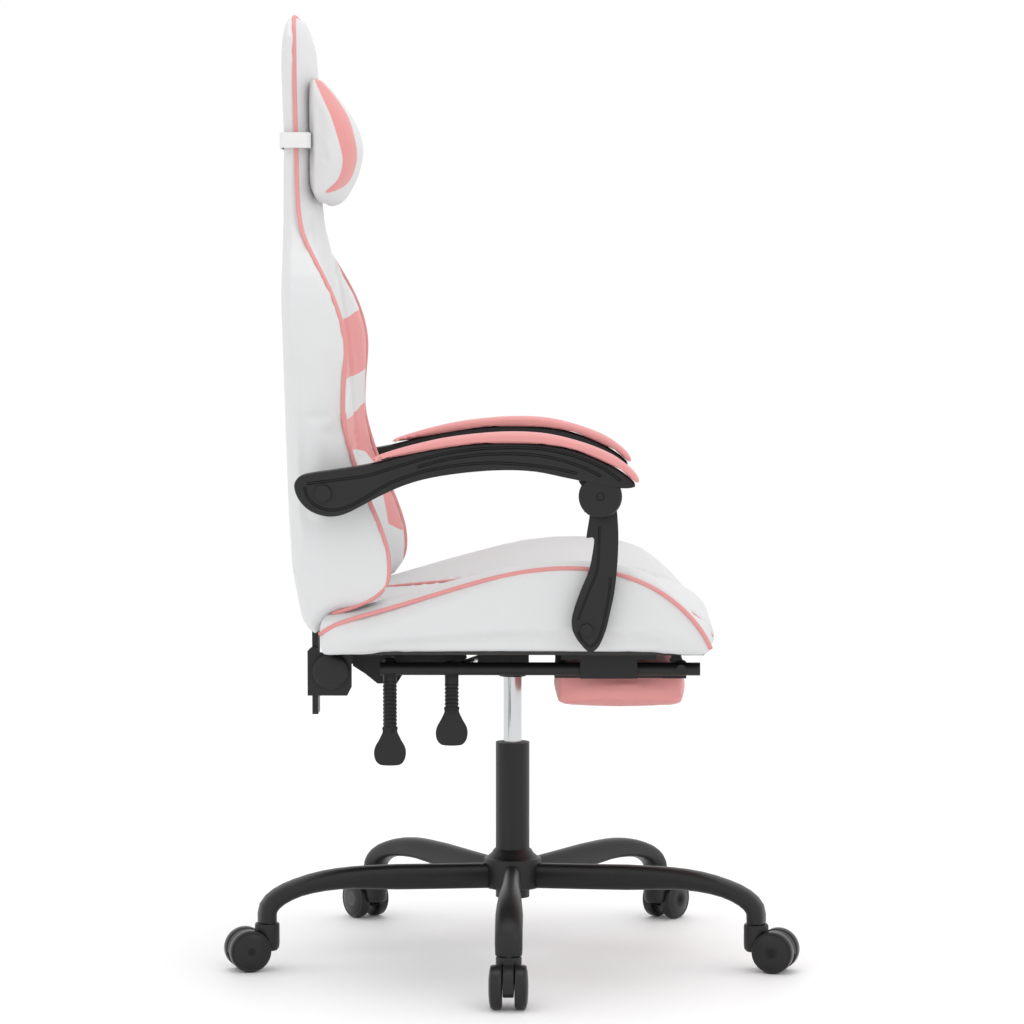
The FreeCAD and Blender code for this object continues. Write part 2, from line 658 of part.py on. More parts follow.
plate_left = "-(hinge_half_width + plate_thick / 2)"
plate_shape = [("plate_front", "seat_bottom"), ("plate_front", "plate_bottom + 12"),
               ("plate_front + 6", "plate_bottom"), ("plate_rear", "plate_bottom"),
               ("plate_rear", "seat_bottom + 2"), ("plate_rear - 5", "seat_bottom + 7"),
               ("plate_rear - 12", "seat_bottom + 7"), ("plate_rear - 17", "seat_bottom")]
fixed_plate = slab("hinge_plate_upright", plate_shape, plate_left, "plate_thick")
fixed_flange = box("hinge_plate_flange", plate_left, "plate_front - 40",
                   "seat_bottom - plate_thick",
                   "24 + plate_thick", "board_rear - plate_front + 40", "plate_thick")
hinge_hole = cylinder("hinge_plate_hole", "hinge_pin_radius", "plate_thick + 2", f"{plate_left} - 1",
                      "hinge_rear",
                      "hinge_height", "x")
bracket = cut("recline_bracket_right", fuse("hinge_plate_blank", fixed_plate, fixed_flange), hinge_hole)
keep(group("recline_brackets", bracket, mirrored("recline_bracket_left", bracket)), "recline_brackets")

moving_left = f"({plate_left} + plate_thick + plate_gap)"
moving_shape = [("hinge_rear - 16", "hinge_height - 16"),
                ("upright_rear - upright_thick + 1", "hinge_height - 24"),
                ("upright_rear - upright_thick + 1", "hinge_height + 20"),
                ("hinge_rear - 16", "hinge_height + 12")]
moving_plate = slab("moving_plate", moving_shape, moving_left, "plate_thick")
upright = box("upright_strip", moving_left, "upright_rear - upright_thick", "upright_bottom", "upright_width",
              "upright_thick", "upright_top - upright_bottom")
moving_hole = cylinder("moving_plate_hole", "hinge_pin_radius + running_gap", "plate_thick + 2",
                       f"{moving_left} - 1", "hinge_rear", "hinge_height", "x")
upright_right = cut("upright_right", fuse("upright_weldment", moving_plate, upright), moving_hole)
upright_left = mirrored("upright_left", upright_right)
keep(group("back_uprights", upright_right, upright_left), "back_uprights")

hinge_pin = cylinder("hinge_pin_right", "hinge_pin_radius", "2 * plate_thick + plate_gap + spring_width + 1",
                     f"{plate_left} - spring_width", "hinge_rear", "hinge_height", "x")
keep(group("hinge_pins", hinge_pin, mirrored("hinge_pin_left", hinge_pin)), "hinge_pins")

# Hinge covers: moulded cups outside the fixed plates, with the return spring inside the
# right-hand one.
cup = cylinder("hinge_cup", "cover_radius", "cover_thick", f"{plate_left} - cover_thick", "hinge_rear",
               "hinge_height", "x")
cup_void = cylinder("hinge_cup_void", "cover_radius - 2.5", "cover_thick - 3",
                    f"{plate_left} - cover_thick + 3",
                    "hinge_rear", "hinge_height", "x")
cover = cut("hinge_cover_right", cup, cup_void)
keep(group("hinge_covers", cover, mirrored("hinge_cover_left", cover)), "hinge_covers")


def spiral_shape(inner, pitch, wire, width, halves):
    """A flat spiral spring of half rings whose radii grow by half a pitch each."""
    total = None
    for half in range(halves):
        radius = inner + half * pitch / 2
        centre = Vector(0 if half % 2 == 0 else pitch / 2, 0, 0)
        ring = Part.makeCylinder(radius + wire, width, centre, Z_AXIS, 180)
        ring = ring.cut(Part.makeCylinder(radius, width, centre, Z_AXIS, 180))
        if half % 2:
            ring.rotate(centre, Z_AXIS, 180)
        total = ring if total is None else total.fuse(ring)
    return total.removeSplitter()


spring = doc.addObject("Part::Feature", "recline_spring")
spring.Shape = spiral_shape(size("hinge_pin_radius"), 3.5, size("spring_wire"), size("spring_width") - 1, 7)
spring_right = -size("hinge_half_width") - size("plate_thick") / 2 - size("spring_width")
spring.Placement = Placement(Vector(spring_right, size("hinge_rear"), size("hinge_height")), TURN["x"])
keep(spring, "recline_spring")

# Back: a tube frame in foam, with side wings, and a rear panel closed over it.

REAR = [(40, 0), (22, 0.111), (18, 0.21), (7, 0.537), (7, 0.861), (0, 0.942)]
rear_line = [(f"back_rear - {depth}", f"back_bottom + {up} * back_height") for depth, up in REAR]
foam_line = [(f"{rear} - panel_thick", up) for rear, up in rear_line]
FRONT = [(26, 0.993), (40, 0.969), (43, 0.903), (45, 0.662), (61, 0.57), (75, 0.443), (85, 0.27), (98, 0.154)]
front_line = [(f"back_rear - {depth}", f"back_bottom + {up} * back_height") for depth, up in FRONT]
tuck = [("seat_rear - 46", "seat_bottom + 0.48 * seat_crown"), ("seat_rear + 1.5",
                                                                "seat_bottom + 0.44 * seat_crown"),
        ("seat_rear + 1.5", "back_bottom + 2")]
low_front = [corner for corner, (_, up) in zip(front_line, FRONT) if up < 0.67]
low_rear = foam_line[:4]
shoulder = [("back_rear - panel_thick - 7", "back_bottom + 0.662 * back_height")]
torso = slab("back_torso", low_front + tuck + low_rear + shoulder, "-(back_half_width - wing_width)",
             "2 * (back_half_width - wing_width)")
crown = [("back_rear - 20", "back_bottom + back_height"), ("back_rear - 7",
                                                           "back_bottom + 0.985 * back_height")]
head_rear = [foam_line[5], foam_line[4], ("back_rear - panel_thick - 7", "back_bottom + 0.6 * back_height")]
head_front = [("back_rear - 58", "back_bottom + 0.6 * back_height")] + front_line[3::-1]
head = slab("back_head", crown + head_rear + head_front, "-head_half_width", "2 * head_half_width")

WING = [(33, 0.664), (45, 0.647), (77, 0.578), (101, 0.516), (108, 0.455), (105, 0.404), (104, 0.352),
        (118, 0.284), (138, 0.227), (158, 0.164), (166, 0.115), (162, 0.084), (149, 0.066)]
wing_front = [(f"back_rear - {depth}", f"back_bottom + {up} * back_height") for depth, up in WING]
wing_tuck = [("seat_rear - 36", "seat_bottom + 0.425 * seat_crown"),
             ("seat_rear + 1.5", "seat_bottom + 0.36 * seat_crown"), ("seat_rear + 1.5", "back_bottom + 2")]
wing_rear = low_rear + [("back_rear - panel_thick - 7", "back_bottom + 0.664 * back_height")]
wing = slab("back_wing_blank", wing_front + wing_tuck + wing_rear, "-back_half_width", "wing_width")

lower_length = "frame_shoulder - frame_bottom"
head_length = "frame_head_top - frame_shoulder"
tubes = []
for side, sign in (("right", "-"), ("left", "")):
    tubes.append(cylinder(f"frame_side_{side}", "frame_tube_radius", lower_length, f"{sign}frame_half_width",
                          "frame_rear", "frame_bottom"))
    tubes.append(cylinder(f"frame_head_{side}", "frame_tube_radius", head_length,
                          f"{sign}frame_head_half_width",
                          "frame_head_rear", "frame_shoulder"))
for level, (half, rear, height) in enumerate((("frame_half_width", "frame_rear", "frame_bottom"),
                                              ("frame_half_width", "(frame_rear + frame_head_rear) / 2",
                                               "frame_shoulder"),
                                              ("frame_head_half_width", "frame_head_rear",
                                               "frame_head_top"))):
    tubes.append(cylinder(f"frame_cross_{level}", "frame_tube_radius", f"2 * {half}", f"-{half}", rear,
                          height, "x"))
frame = keep(fuse("back_frame", *tubes), "back_frame")

# Arm bolts: from inside each wing, out through the rear end of its armrest.
arm_outer = "(arm_inner + arm_thick)"
arm_bolt_shank = cylinder("arm_bolt_shank", "side_bolt_radius",
                          f"{arm_outer} - back_half_width + side_bolt_grip",
                          f"-{arm_outer}", "arm_pivot_rear", "arm_pivot_height", "x")
arm_bolt_cap = cylinder("arm_bolt_cap", "arm_bolt_head", "side_bolt_head_thick",
                        f"-({arm_outer} + side_bolt_head_thick + 0.5)", "arm_pivot_rear", "arm_pivot_height",
                        "x")
arm_bolt_neck = cylinder("arm_bolt_neck", "side_bolt_radius", "1", f"-({arm_outer} + 0.75)", "arm_pivot_rear",
                         "arm_pivot_height", "x")
arm_bolt = fuse("arm_bolt_right", arm_bolt_shank, arm_bolt_neck, arm_bolt_cap)
keep(group("arm_bolts", arm_bolt, mirrored("arm_bolt_left", arm_bolt)), "arm_bolts")

wing_right = cut("wing_right", wing, upright_right, frame, arm_bolt_shank)
wing_left = mirrored("wing_left", wing_right)
keep(group("back_wings", wing_right, wing_left), "back_wings")
keep(cut("back_cushion", fuse("back_foam", torso, head), upright_right, upright_left, frame), "back_cushion")

low_panel = slab("low_panel", rear_line[:4] + [("back_rear - 7", "back_bottom + 0.664 * back_height"),
                                               ("back_rear - 7 - panel_thick",
                                                "back_bottom + 0.664 * back_height")]
                 + foam_line[3::-1], "-panel_half_width", "2 * panel_half_width")
head_panel = slab("head_panel", [("back_rear - 7", "back_bottom + 0.6 * back_height"), rear_line[4],
                                 rear_line[5],
                                 foam_line[5], foam_line[4],
                                 ("back_rear - 7 - panel_thick", "back_bottom + 0.6 * back_height")],
                  "-head_half_width", "2 * head_half_width")
keep(fuse("back_rear_panel", low_panel, head_panel), "back_rear_panel")

# Head pillow on an elastic strap around the head of the back.
PILLOW = [(1, 1), (1, 0), (0.66, 0), (0.31, 0.155), (0.1, 0.306), (0, 0.457), (0.05, 0.548), (0.23, 0.694),
          (0.52, 0.817)]
pillow_span = ("(pillow_rear - pillow_depth)", "pillow_depth", "pillow_bottom", "pillow_height")
pillow = slab("head_pillow", side_points(PILLOW, *pillow_span), "-pillow_half_width", "2 * pillow_half_width")
keep(pillow, "head_pillow")
strap_front = "(pillow_rear + strap_gap / 2)"
strap_in = "(head_half_width + strap_gap)"
strap_outer = box("strap_outer", f"-{strap_in} - strap_thick", strap_front, "strap_bottom",
                  f"2 * ({strap_in} + strap_thick)", f"back_rear + strap_gap + strap_thick - {strap_front}",
                  "strap_width")
strap_hole = box("strap_hole", f"-{strap_in}", f"{strap_front} + strap_thick", "strap_bottom - 1",
                 f"2 * {strap_in}", f"back_rear + strap_gap - {strap_front} - strap_thick", "strap_width + 2")
keep(cut("pillow_strap", strap_outer, strap_hole), "pillow_strap")

# Armrests: a swept plastic beam, a padded top, and an ear that drops to the elbow pivot.
ARM_TOP = [(0, 0.43), (0.1, 0.755), (0.18, 0.91), (0.36, 1), (0.465, 0.99), (0.57, 0.93), (0.78, 0.705)]
ARM_TAIL = [(0.93, 0.57), (0.985, 0.5), (1, 0.4), (0.975, 0.18), (0.94, 0.05), (0.895, 0), (0.85, 0.03),
            (0.8, 0.12), (0.75, 0.275), (0.675, 0.43), (0.6, 0.52), (0.52, 0.57), (0.385, 0.645), (0.305,
                                                                                                   0.62),
            (0.2, 0.52), (0.09, 0.47), (0.01, 0.4)]
beam_span = ("arm_front", "arm_length", "arm_low", "arm_height")
beam = slab("arm_beam", side_points(ARM_TOP + ARM_TAIL, *beam_span), f"-{arm_outer}", "arm_thick")
ear_left = "(leg_inner + leg_thick + 0.6)"
ear = cylinder("arm_ear_round", "ear_radius", "ear_thick", f"-({ear_left} + ear_thick)", "elbow_rear",
               "elbow_height", "x")
ear_neck = box("arm_ear_neck", f"-({ear_left} + ear_thick)", "elbow_rear - ear_radius * 0.8", "elbow_height",
               "ear_thick", "ear_radius * 1.6", "arm_height * 0.3")
knuckle_room = cylinder("arm_knuckle_room", "leg_knuckle_radius + 6", "leg_thick + 1.2",
                        "-(leg_inner + leg_thick + 0.6)", "elbow_rear", "elbow_height", "x")
elbow_hole = cylinder("arm_elbow_hole", "elbow_pin_radius + running_gap", "ear_thick + 40",
                      f"-({ear_left} + ear_thick + 20)", "elbow_rear", "elbow_height", "x")
cap_room = cylinder("arm_cap_room", "elbow_cap_radius + 1", "arm_thick",
                    f"-({ear_left} + ear_thick + arm_thick)",
                    "elbow_rear", "elbow_height", "x")
bolt_room = cylinder("arm_bolt_room", "side_bolt_radius + arm_pivot_slack", "arm_thick + 2",
                     f"-{arm_outer} - 1",
                     "arm_pivot_rear", "arm_pivot_height", "x")
arm_body = cut("armrest_right", fuse("arm_moulding", cut("arm_beam_cleared", beam, knuckle_room, cap_room),
                                     ear,
                                     ear_neck), elbow_hole, bolt_room)
keep(arm_body, "armrest_right")
keep(mirrored("armrest_left", arm_body), "armrest_left")

PAD_TOP = [(0.77, 0.79), (0.675, 0.945), (0.57, 1.07), (0.465, 1.14), (0.36, 1.16), (0.255, 1.13), (0.15,
                                                                                                    1.01),
           (0.07, 0.84), (0.02, 0.68), (-0.009, 0.54), (-0.007, 0.45)]
arm_pad = slab("armrest_pad_right", side_points(ARM_TOP + PAD_TOP, *beam_span),
               f"-({arm_outer} - arm_thick / 2 + pad_half_thick)", "2 * pad_half_thick")
keep(arm_pad, "armrest_pad_right")
keep(mirrored("armrest_pad_left", arm_pad), "armrest_pad_left")

# Armrest legs: from the elbow pivot under the armrest to a bolt in the seat's side.
LEG = [(-23, 0.97), (-24, 0.6), (-21, 0.42), (-19, 0.28), (-26, 0.04), (-21, -0.06), (-12, -0.14), (-5,
                                                                                                    -0.17),
       (7, -0.11), (16, -0.02), (20, 0.06), (18, 0.13), (10, 0.28), (-2, 0.42), (-8, 0.57), (-10, 0.66),
       (0, 0.69), (1, 0.97)]
leg_points = [(f"leg_foot_rear + {rear}", f"leg_foot_height + {up} * (elbow_height - leg_foot_height)")
              for rear, up in LEG]
leg_blank = slab("leg_blank", leg_points, "-(leg_inner + leg_thick)", "leg_thick")
knuckle = cylinder("leg_knuckle", "leg_knuckle_radius", "leg_thick", "-(leg_inner + leg_thick)", "elbow_rear",
                   "elbow_height", "x")
foot_hole = cylinder("leg_foot_hole", "side_bolt_radius + running_gap", "leg_thick + 2",
                     "-(leg_inner + leg_thick + 1)", "leg_foot_rear", "leg_foot_height", "x")
pin_seat = cylinder("leg_pin_seat", "elbow_pin_radius", "leg_thick + 2", "-(leg_inner + leg_thick + 1)",
                    "elbow_rear", "elbow_height", "x")
leg = cut("armrest_leg_right", fuse("leg_moulding", leg_blank, knuckle), foot_hole, pin_seat)
keep(leg, "armrest_leg_right")
keep(mirrored("armrest_leg_left", leg), "armrest_leg_left")
elbow_pin = cylinder("elbow_pin_shank", "elbow_pin_radius", "leg_thick + ear_thick + 1.2",
                     f"-({ear_left} + ear_thick + 0.6)", "elbow_rear", "elbow_height", "x")
elbow_cap = cylinder("elbow_cap", "elbow_cap_radius", "elbow_cap_thick",
                     f"-({ear_left} + ear_thick + 0.6 + elbow_cap_thick)", "elbow_rear", "elbow_height", "x")
elbow = fuse("elbow_pivot_right", elbow_pin, elbow_cap)
keep(elbow, "elbow_pivot_right")
keep(mirrored("elbow_pivot_left", elbow), "elbow_pivot_left")

# Footrest: two rails that slide in saddles under the board, and a padded board that turns
# over about screws at the rails' front ends.
rail_wall = cylinder("rail_wall", "rail_radius", "rail_rear - rail_front", "-rail_half_spacing", "rail_front",
                     "rail_height", "y")
rail_hole = cylinder("rail_hole", "rail_bore", "rail_rear - rail_front - rail_solid_tip - 2",
                     "-rail_half_spacing",
                     "rail_front + rail_solid_tip", "rail_height", "y")
screw_room = cylinder("rail_screw_hole", "footrest_screw_radius + running_gap", "4 * rail_radius",
                      "-rail_half_spacing - 2 * rail_radius", "footrest_pivot", "rail_height", "x")
rail = cut("rail_right", rail_wall, rail_hole, screw_room)
keep(group("footrest_rails", rail, mirrored("rail_left", rail)), "footrest_rails")

saddle_wing = box("saddle_wings", "-rail_half_spacing - saddle_half_width", "saddle_front - saddle_wing",
                  "seat_bottom - saddle_wing_thick", "2 * saddle_half_width",
                  "saddle_rear - saddle_front + 2 * saddle_wing", "saddle_wing_thick")
saddle_block = box("saddle_block", "-rail_half_spacing - saddle_half_width", "saddle_front",
                   "rail_height - rail_radius - saddle_wall", "2 * saddle_half_width",
                   "saddle_rear - saddle_front",
                   "seat_bottom - rail_height + rail_radius + saddle_wall")
saddle_bore = cylinder("saddle_bore", "rail_radius + running_gap",
                       "saddle_rear - saddle_front + 4 * saddle_wing",
                       "-rail_half_spacing", "saddle_front - 2 * saddle_wing", "rail_height", "y")
saddle = cut("saddle_right", fuse("saddle_moulding", saddle_wing, saddle_block), saddle_bore)
keep(group("footrest_saddles", saddle, mirrored("saddle_left", saddle)), "footrest_saddles")

foot_board = box("foot_board_blank", "-footrest_half_width", "footrest_front",
                 "footrest_top - footrest_board_thick",
                 "2 * footrest_half_width", "footrest_rear - footrest_front", "footrest_board_thick")
keep(foot_board, "footrest_board")
PAD = [(0.05, 0), (0, 0.28), (0, 1), (1, 1), (1, 0.28), (0.95, 0)]
keep(slab("footrest_cushion", side_points(PAD, "footrest_front", "(footrest_rear - footrest_front)",
                                          "footrest_bottom",
                                          "(footrest_top - footrest_board_thick - footrest_bottom)"),
          "-footrest_half_width", "2 * footrest_half_width"), "footrest_cushion")

ear_x = "-(footrest_half_width + footrest_ear_thick)"
hinge_leaf = box("footrest_leaf", ear_x, "footrest_front", "footrest_top - footrest_board_thick",
                 "footrest_ear_thick",
                 "3 * footrest_ear_radius", "rail_height - footrest_top + footrest_board_thick")
hinge_round = cylinder("footrest_ear", "footrest_ear_radius", "footrest_ear_thick", ear_x, "footrest_pivot",
                       "rail_height", "x")
screw_hole = cylinder("footrest_ear_hole", "footrest_screw_radius", "footrest_ear_thick + 2", f"{ear_x} - 1",
                      "footrest_pivot", "rail_height", "x")
foot_ear = cut("footrest_hinge_right", fuse("footrest_ear_blank", hinge_leaf, hinge_round), screw_hole)
keep(group("footrest_hinges", foot_ear, mirrored("footrest_hinge_left", foot_ear)), "footrest_hinges")
rail_outer = "(rail_half_spacing + rail_radius)"
screw = cylinder("footrest_screw_shank", "footrest_screw_radius", f"{rail_outer} - footrest_half_width",
                 f"-{rail_outer}", "footrest_pivot", "rail_height", "x")
screw_cap = cylinder("footrest_screw_cap", "footrest_screw_head", "3", f"-({rail_outer} + 3)",
                     "footrest_pivot",
                     "rail_height", "x")
foot_screw = fuse("footrest_screw_right", screw, screw_cap)
keep(group("footrest_screws", foot_screw, mirrored("footrest_screw_left", foot_screw)), "footrest_screws")

doc.recompute()
os.makedirs("parts", exist_ok=True)
faults = [item.Name for item in doc.Objects if {"Invalid", "Error"} & set(item.State)]
faults += [item.Label for item in kept if item.Shape.isNull() or not item.Shape.isValid()]
if faults:
    raise SystemExit("failed: " + ", ".join(faults))
for item in kept:
    item.Shape.exportStep(f"parts/{item.Label}.step")
    print(item.Label, len(item.Shape.Solids), round(item.Shape.Volume / 1000, 1))
print(len(kept), "pieces")
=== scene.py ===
import json
import math

import bpy
from mathutils import Matrix, Vector, kdtree
from mathutils.bvhtree import BVHTree


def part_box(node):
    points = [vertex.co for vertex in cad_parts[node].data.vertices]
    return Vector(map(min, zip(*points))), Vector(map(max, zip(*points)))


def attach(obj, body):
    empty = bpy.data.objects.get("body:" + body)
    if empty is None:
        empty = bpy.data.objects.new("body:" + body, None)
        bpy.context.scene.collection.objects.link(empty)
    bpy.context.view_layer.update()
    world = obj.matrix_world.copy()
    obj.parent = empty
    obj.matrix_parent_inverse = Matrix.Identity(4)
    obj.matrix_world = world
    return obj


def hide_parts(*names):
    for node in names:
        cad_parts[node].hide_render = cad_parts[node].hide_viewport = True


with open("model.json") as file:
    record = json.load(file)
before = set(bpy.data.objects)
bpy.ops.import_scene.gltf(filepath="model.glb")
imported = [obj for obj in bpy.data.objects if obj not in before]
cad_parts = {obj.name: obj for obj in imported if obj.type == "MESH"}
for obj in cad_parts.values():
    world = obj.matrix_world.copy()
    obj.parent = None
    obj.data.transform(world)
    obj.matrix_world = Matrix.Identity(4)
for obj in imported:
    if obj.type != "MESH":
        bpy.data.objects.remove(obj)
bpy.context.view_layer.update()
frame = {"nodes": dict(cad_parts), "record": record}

# Floor, light and camera: a pale studio floor under soft light from above and both sides,
# seen from the sitter's right at a little under head height.
bpy.ops.object.select_all(action="DESELECT")
bpy.ops.mesh.primitive_plane_add(size=60, location=(0, 0, -0.0005))
floor = bpy.context.object
floor.name = "studio_floor"

CAMERA_PLACE = (-5.0795, -0.0733, 0.9499)
LOOK_DOWN, LOOK_REARWARD = 0.0626, 0.0146
camera_data = bpy.data.cameras.new("camera")
camera_data.lens = 126.6
camera_data.clip_end = 100
camera = bpy.data.objects.new("camera", camera_data)
camera.location = CAMERA_PLACE
camera.rotation_euler = (math.pi / 2 - LOOK_DOWN, 0, -math.pi / 2 + LOOK_REARWARD)
bpy.context.scene.collection.objects.link(camera)
bpy.context.scene.camera = camera
bpy.context.scene.view_settings.view_transform = "Standard"


def lamp(name, place, target_height, diameter, power):
    light = bpy.data.lights.new(name, "AREA")
    light.shape = "DISK"
    light.size = diameter
    light.energy = power
    lamp_object = bpy.data.objects.new(name, light)
    lamp_object.location = place
    beam = Vector((0, 0, target_height)) - Vector(place)
    lamp_object.rotation_euler = beam.to_track_quat("-Z", "Y").to_euler()
    bpy.context.scene.collection.objects.link(lamp_object)


lamp("key_light", place=(-3.2, -2.6, 3.4), target_height=0.6, diameter=2.6, power=14)
lamp("fill_light", place=(-3.4, 3.0, 2.2), target_height=0.6, diameter=3.0, power=6)
lamp("top_light", place=(0.3, 0, 4.2), target_height=0.5, diameter=3.0, power=30)
world = bpy.data.worlds.new("studio")
world.use_nodes = True
backdrop = world.node_tree.nodes["Background"]
backdrop.inputs["Color"].default_value = (1, 1, 1, 1)
backdrop.inputs["Strength"].default_value = 1.03
bpy.context.scene.world = world


class Wire:
    """One socket of a material, so that shader maths reads as an expression."""

    def __init__(self, recipe, socket):
        self.recipe = recipe
        self.socket = socket

    def math(self, operation, *others):
        return self.recipe.node("ShaderNodeMath", {"operation": operation}, self, *others)

    def __add__(self, other):
        return self.math("ADD", other)

    def __sub__(self, other):
        return self.math("SUBTRACT", other)

    def __mul__(self, other):
        return self.math("MULTIPLY", other)

    def __rsub__(self, other):
        return self.recipe.node("ShaderNodeMath", {"operation": "SUBTRACT"}, other, self)

    __radd__ = __add__
    __rmul__ = __mul__

    def step(self, low, high):
        """0 below low, 1 above high, smooth between."""
        settings = {"interpolation_type": "SMOOTHSTEP"}
        return self.recipe.node("ShaderNodeMapRange", settings, self, low, high)


class Recipe:
    """A new material: its Principled shader, and one way to add any other node."""

    def __init__(self, name, roughness, metallic=0.0):
        self.material = bpy.data.materials.new(name)
        self.material.use_nodes = True
        self.tree = self.material.node_tree
        self.shader = self.tree.nodes["Principled BSDF"]
        self.shader.inputs["Roughness"].default_value = roughness
        self.shader.inputs["Metallic"].default_value = metallic
        self.place = self.node("ShaderNodeTexCoord", {}, output="Object")

    def link(self, value, socket):
        if isinstance(value, Wire):
            self.tree.links.new(value.socket, socket)
        elif value is not None:
            socket.default_value = value

    def node(self, kind, settings, *values, output=0, **named):
        item = self.tree.nodes.new(kind)
        for name, setting in settings.items():
            setattr(item, name, setting)
        for value, socket in zip(values, item.inputs):
            self.link(value, socket)
        for name, value in named.items():
            self.link(value, item.inputs[name.replace("_", " ")])
        return Wire(self, item.outputs[output])

    def noise(self, scale, detail=2.0, stretch=None):
        spot = self.place
        if stretch:
            spot = self.node("ShaderNodeMapping", {}, self.place, Scale=stretch)
        return self.node("ShaderNodeTexNoise", {}, Vector=spot, Scale=scale, Detail=detail, output="Fac")

    def cells(self, scale):
        settings = {"feature": "DISTANCE_TO_EDGE"}
        return self.node("ShaderNodeTexVoronoi", settings, Vector=self.place, Scale=scale, output="Distance")

    def attribute(self, name):
        return self.node("ShaderNodeAttribute", {"attribute_name": name}, output="Fac")

    def mix(self, share, first, second):
        item = self.tree.nodes.new("ShaderNodeMix")
        item.data_type = "RGBA"
        self.link(share, item.inputs[0])
        for value, number in ((first, 6), (second, 7)):
            if not isinstance(value, Wire):
                value = (*value, 1)
            self.link(value, item.inputs[number])
        return Wire(self, item.outputs[2])

    def bump(self, height, strength, distance):
        """Relief from height; distance is in metres."""
        normal = self.node("ShaderNodeBump", {}, Strength=strength, Distance=distance, Height=height,
                           output="Normal")
        self.link(normal, self.shader.inputs["Normal"])

    def colour(self, value):
        if not isinstance(value, Wire):
            value = (*value, 1)
        self.link(value, self.shader.inputs["Base Color"])

    def roughness(self, value):
        self.link(value, self.shader.inputs["Roughness"])


floor_paint = Recipe("floor_paint", roughness=0.6)
floor_paint.colour((0.98, 0.98, 0.98))
floor.data.materials.append(floor_paint.material)

# Faux leather: PVC-coated fabric with a fine pebble grain. White covers the foam, pink makes
# the inserts, pads and piping.
WHITE = (0.70, 0.705, 0.71)
PINK = (0.74, 0.305, 0.295)


def leather(name, base, insert=None):
    """base over all; with an insert colour, that one wherever the mesh is marked as insert; without one, the
    base is darkened in the grain's creases as painted shade.
    """
    hide = Recipe(name, roughness=0.45)
    mottle = hide.noise(9, detail=3)
    crease = hide.cells(620).step(0.0, 0.22)
    fine = hide.noise(1500)
    tone = hide.mix(mottle, tuple(c * 0.965 for c in base), base)
    if insert:
        tone = hide.mix(hide.attribute("insert").step(-0.0006, 0.0006), tone, insert)
    else:
        # painted shade: the base darkened to 93% along the grain's creases, where the bump sinks
        tone = hide.mix(crease * 0.5 + 0.5, tuple(c * 0.93 for c in base), tone)
    hide.colour(tone)
    hide.roughness(0.40 + mottle * 0.10 + (1 - crease) * 0.08)
    hide.bump(crease * 0.7 + fine * 0.3, strength=0.22, distance=0.0006)
    hide.shader.inputs["Specular IOR Level"].default_value = 0.4
    return hide.material


white_leather = leather("white_faux_leather", WHITE)
pink_leather = leather("pink_faux_leather", PINK)

# Seat cushion: moulded foam on the board, in a sewn cover. Flat side panels rise to a piped
# edge, the bolsters roll over inside it, and the pan lies between two inner seams.


def select_only(piece):
    bpy.ops.object.select_all(action="DESELECT")
    piece.select_set(True)
    bpy.context.view_layer.objects.active = piece


def apply_modifier(piece, name):
    select_only(piece)
    bpy.ops.object.modifier_apply(modifier=name)


def face_out(piece):
    """Merge doubles and turn all faces outwards."""
    select_only(piece)
    bpy.ops.object.mode_set(mode="EDIT")
    bpy.ops.mesh.select_all(action="SELECT")
    bpy.ops.mesh.remove_doubles(threshold=0.00002)
    bpy.ops.mesh.normals_make_consistent(inside=False)
    bpy.ops.object.mode_set(mode="OBJECT")


def curve_through(points, steps, closed=False):
    """Smooth points through the given ones, steps to each span."""
    spots = [Vector(p) for p in points]
    count = len(spots)
    result = []
    for index in range(count if closed else count - 1):
        near = [index + shift for shift in (-1, 0, 1, 2)]
        a, b, c, d = (spots[i % count] if closed else spots[min(max(i, 0), count - 1)] for i in near)
        for step in range(steps):
            t = step / steps
            result.append(0.5 * (2 * b + (c - a) * t + (2 * a - 5 * b + 4 * c - d) * t * t
                                 + (3 * b - a - 3 * c + d) * t ** 3))
    if not closed:
        result.append(spots[-1])
    return result


def loft(name, rings, material):
    """A closed skin over a row of rings: a grid wrapped round them, sewn up, its ends filled."""
    size = len(rings[0])
    bpy.ops.object.select_all(action="DESELECT")
    bpy.ops.mesh.primitive_grid_add(x_subdivisions=size, y_subdivisions=len(rings) - 1)
    piece = bpy.context.object
    piece.name = name
    for index, vertex in enumerate(piece.data.vertices):
        vertex.co = rings[index // (size + 1)][index % (size + 1) % size]
    bpy.ops.object.mode_set(mode="EDIT")
    bpy.ops.mesh.select_all(action="SELECT")
    bpy.ops.mesh.remove_doubles(threshold=0.00002)
    bpy.ops.mesh.fill_holes(sides=0)
    bpy.ops.object.mode_set(mode="OBJECT")
    piece.data.materials.append(material)
    face_out(piece)
    return piece


def smooth(piece, degrees=180):
    select_only(piece)
    bpy.ops.object.shade_smooth_by_angle(angle=math.radians(degrees))


def even_out(piece, voxel, rounds):
    """Voxel remesh, then relax the surface so that every edge of the foam is soft."""
    remesh = piece.modifiers.new("remesh", "REMESH")
    remesh.mode = "VOXEL"
    remesh.voxel_size = voxel
    apply_modifier(piece, "remesh")
    relax = piece.modifiers.new("relax", "SMOOTH")
    relax.factor = 0.5
    relax.iterations = rounds
    apply_modifier(piece, "relax")


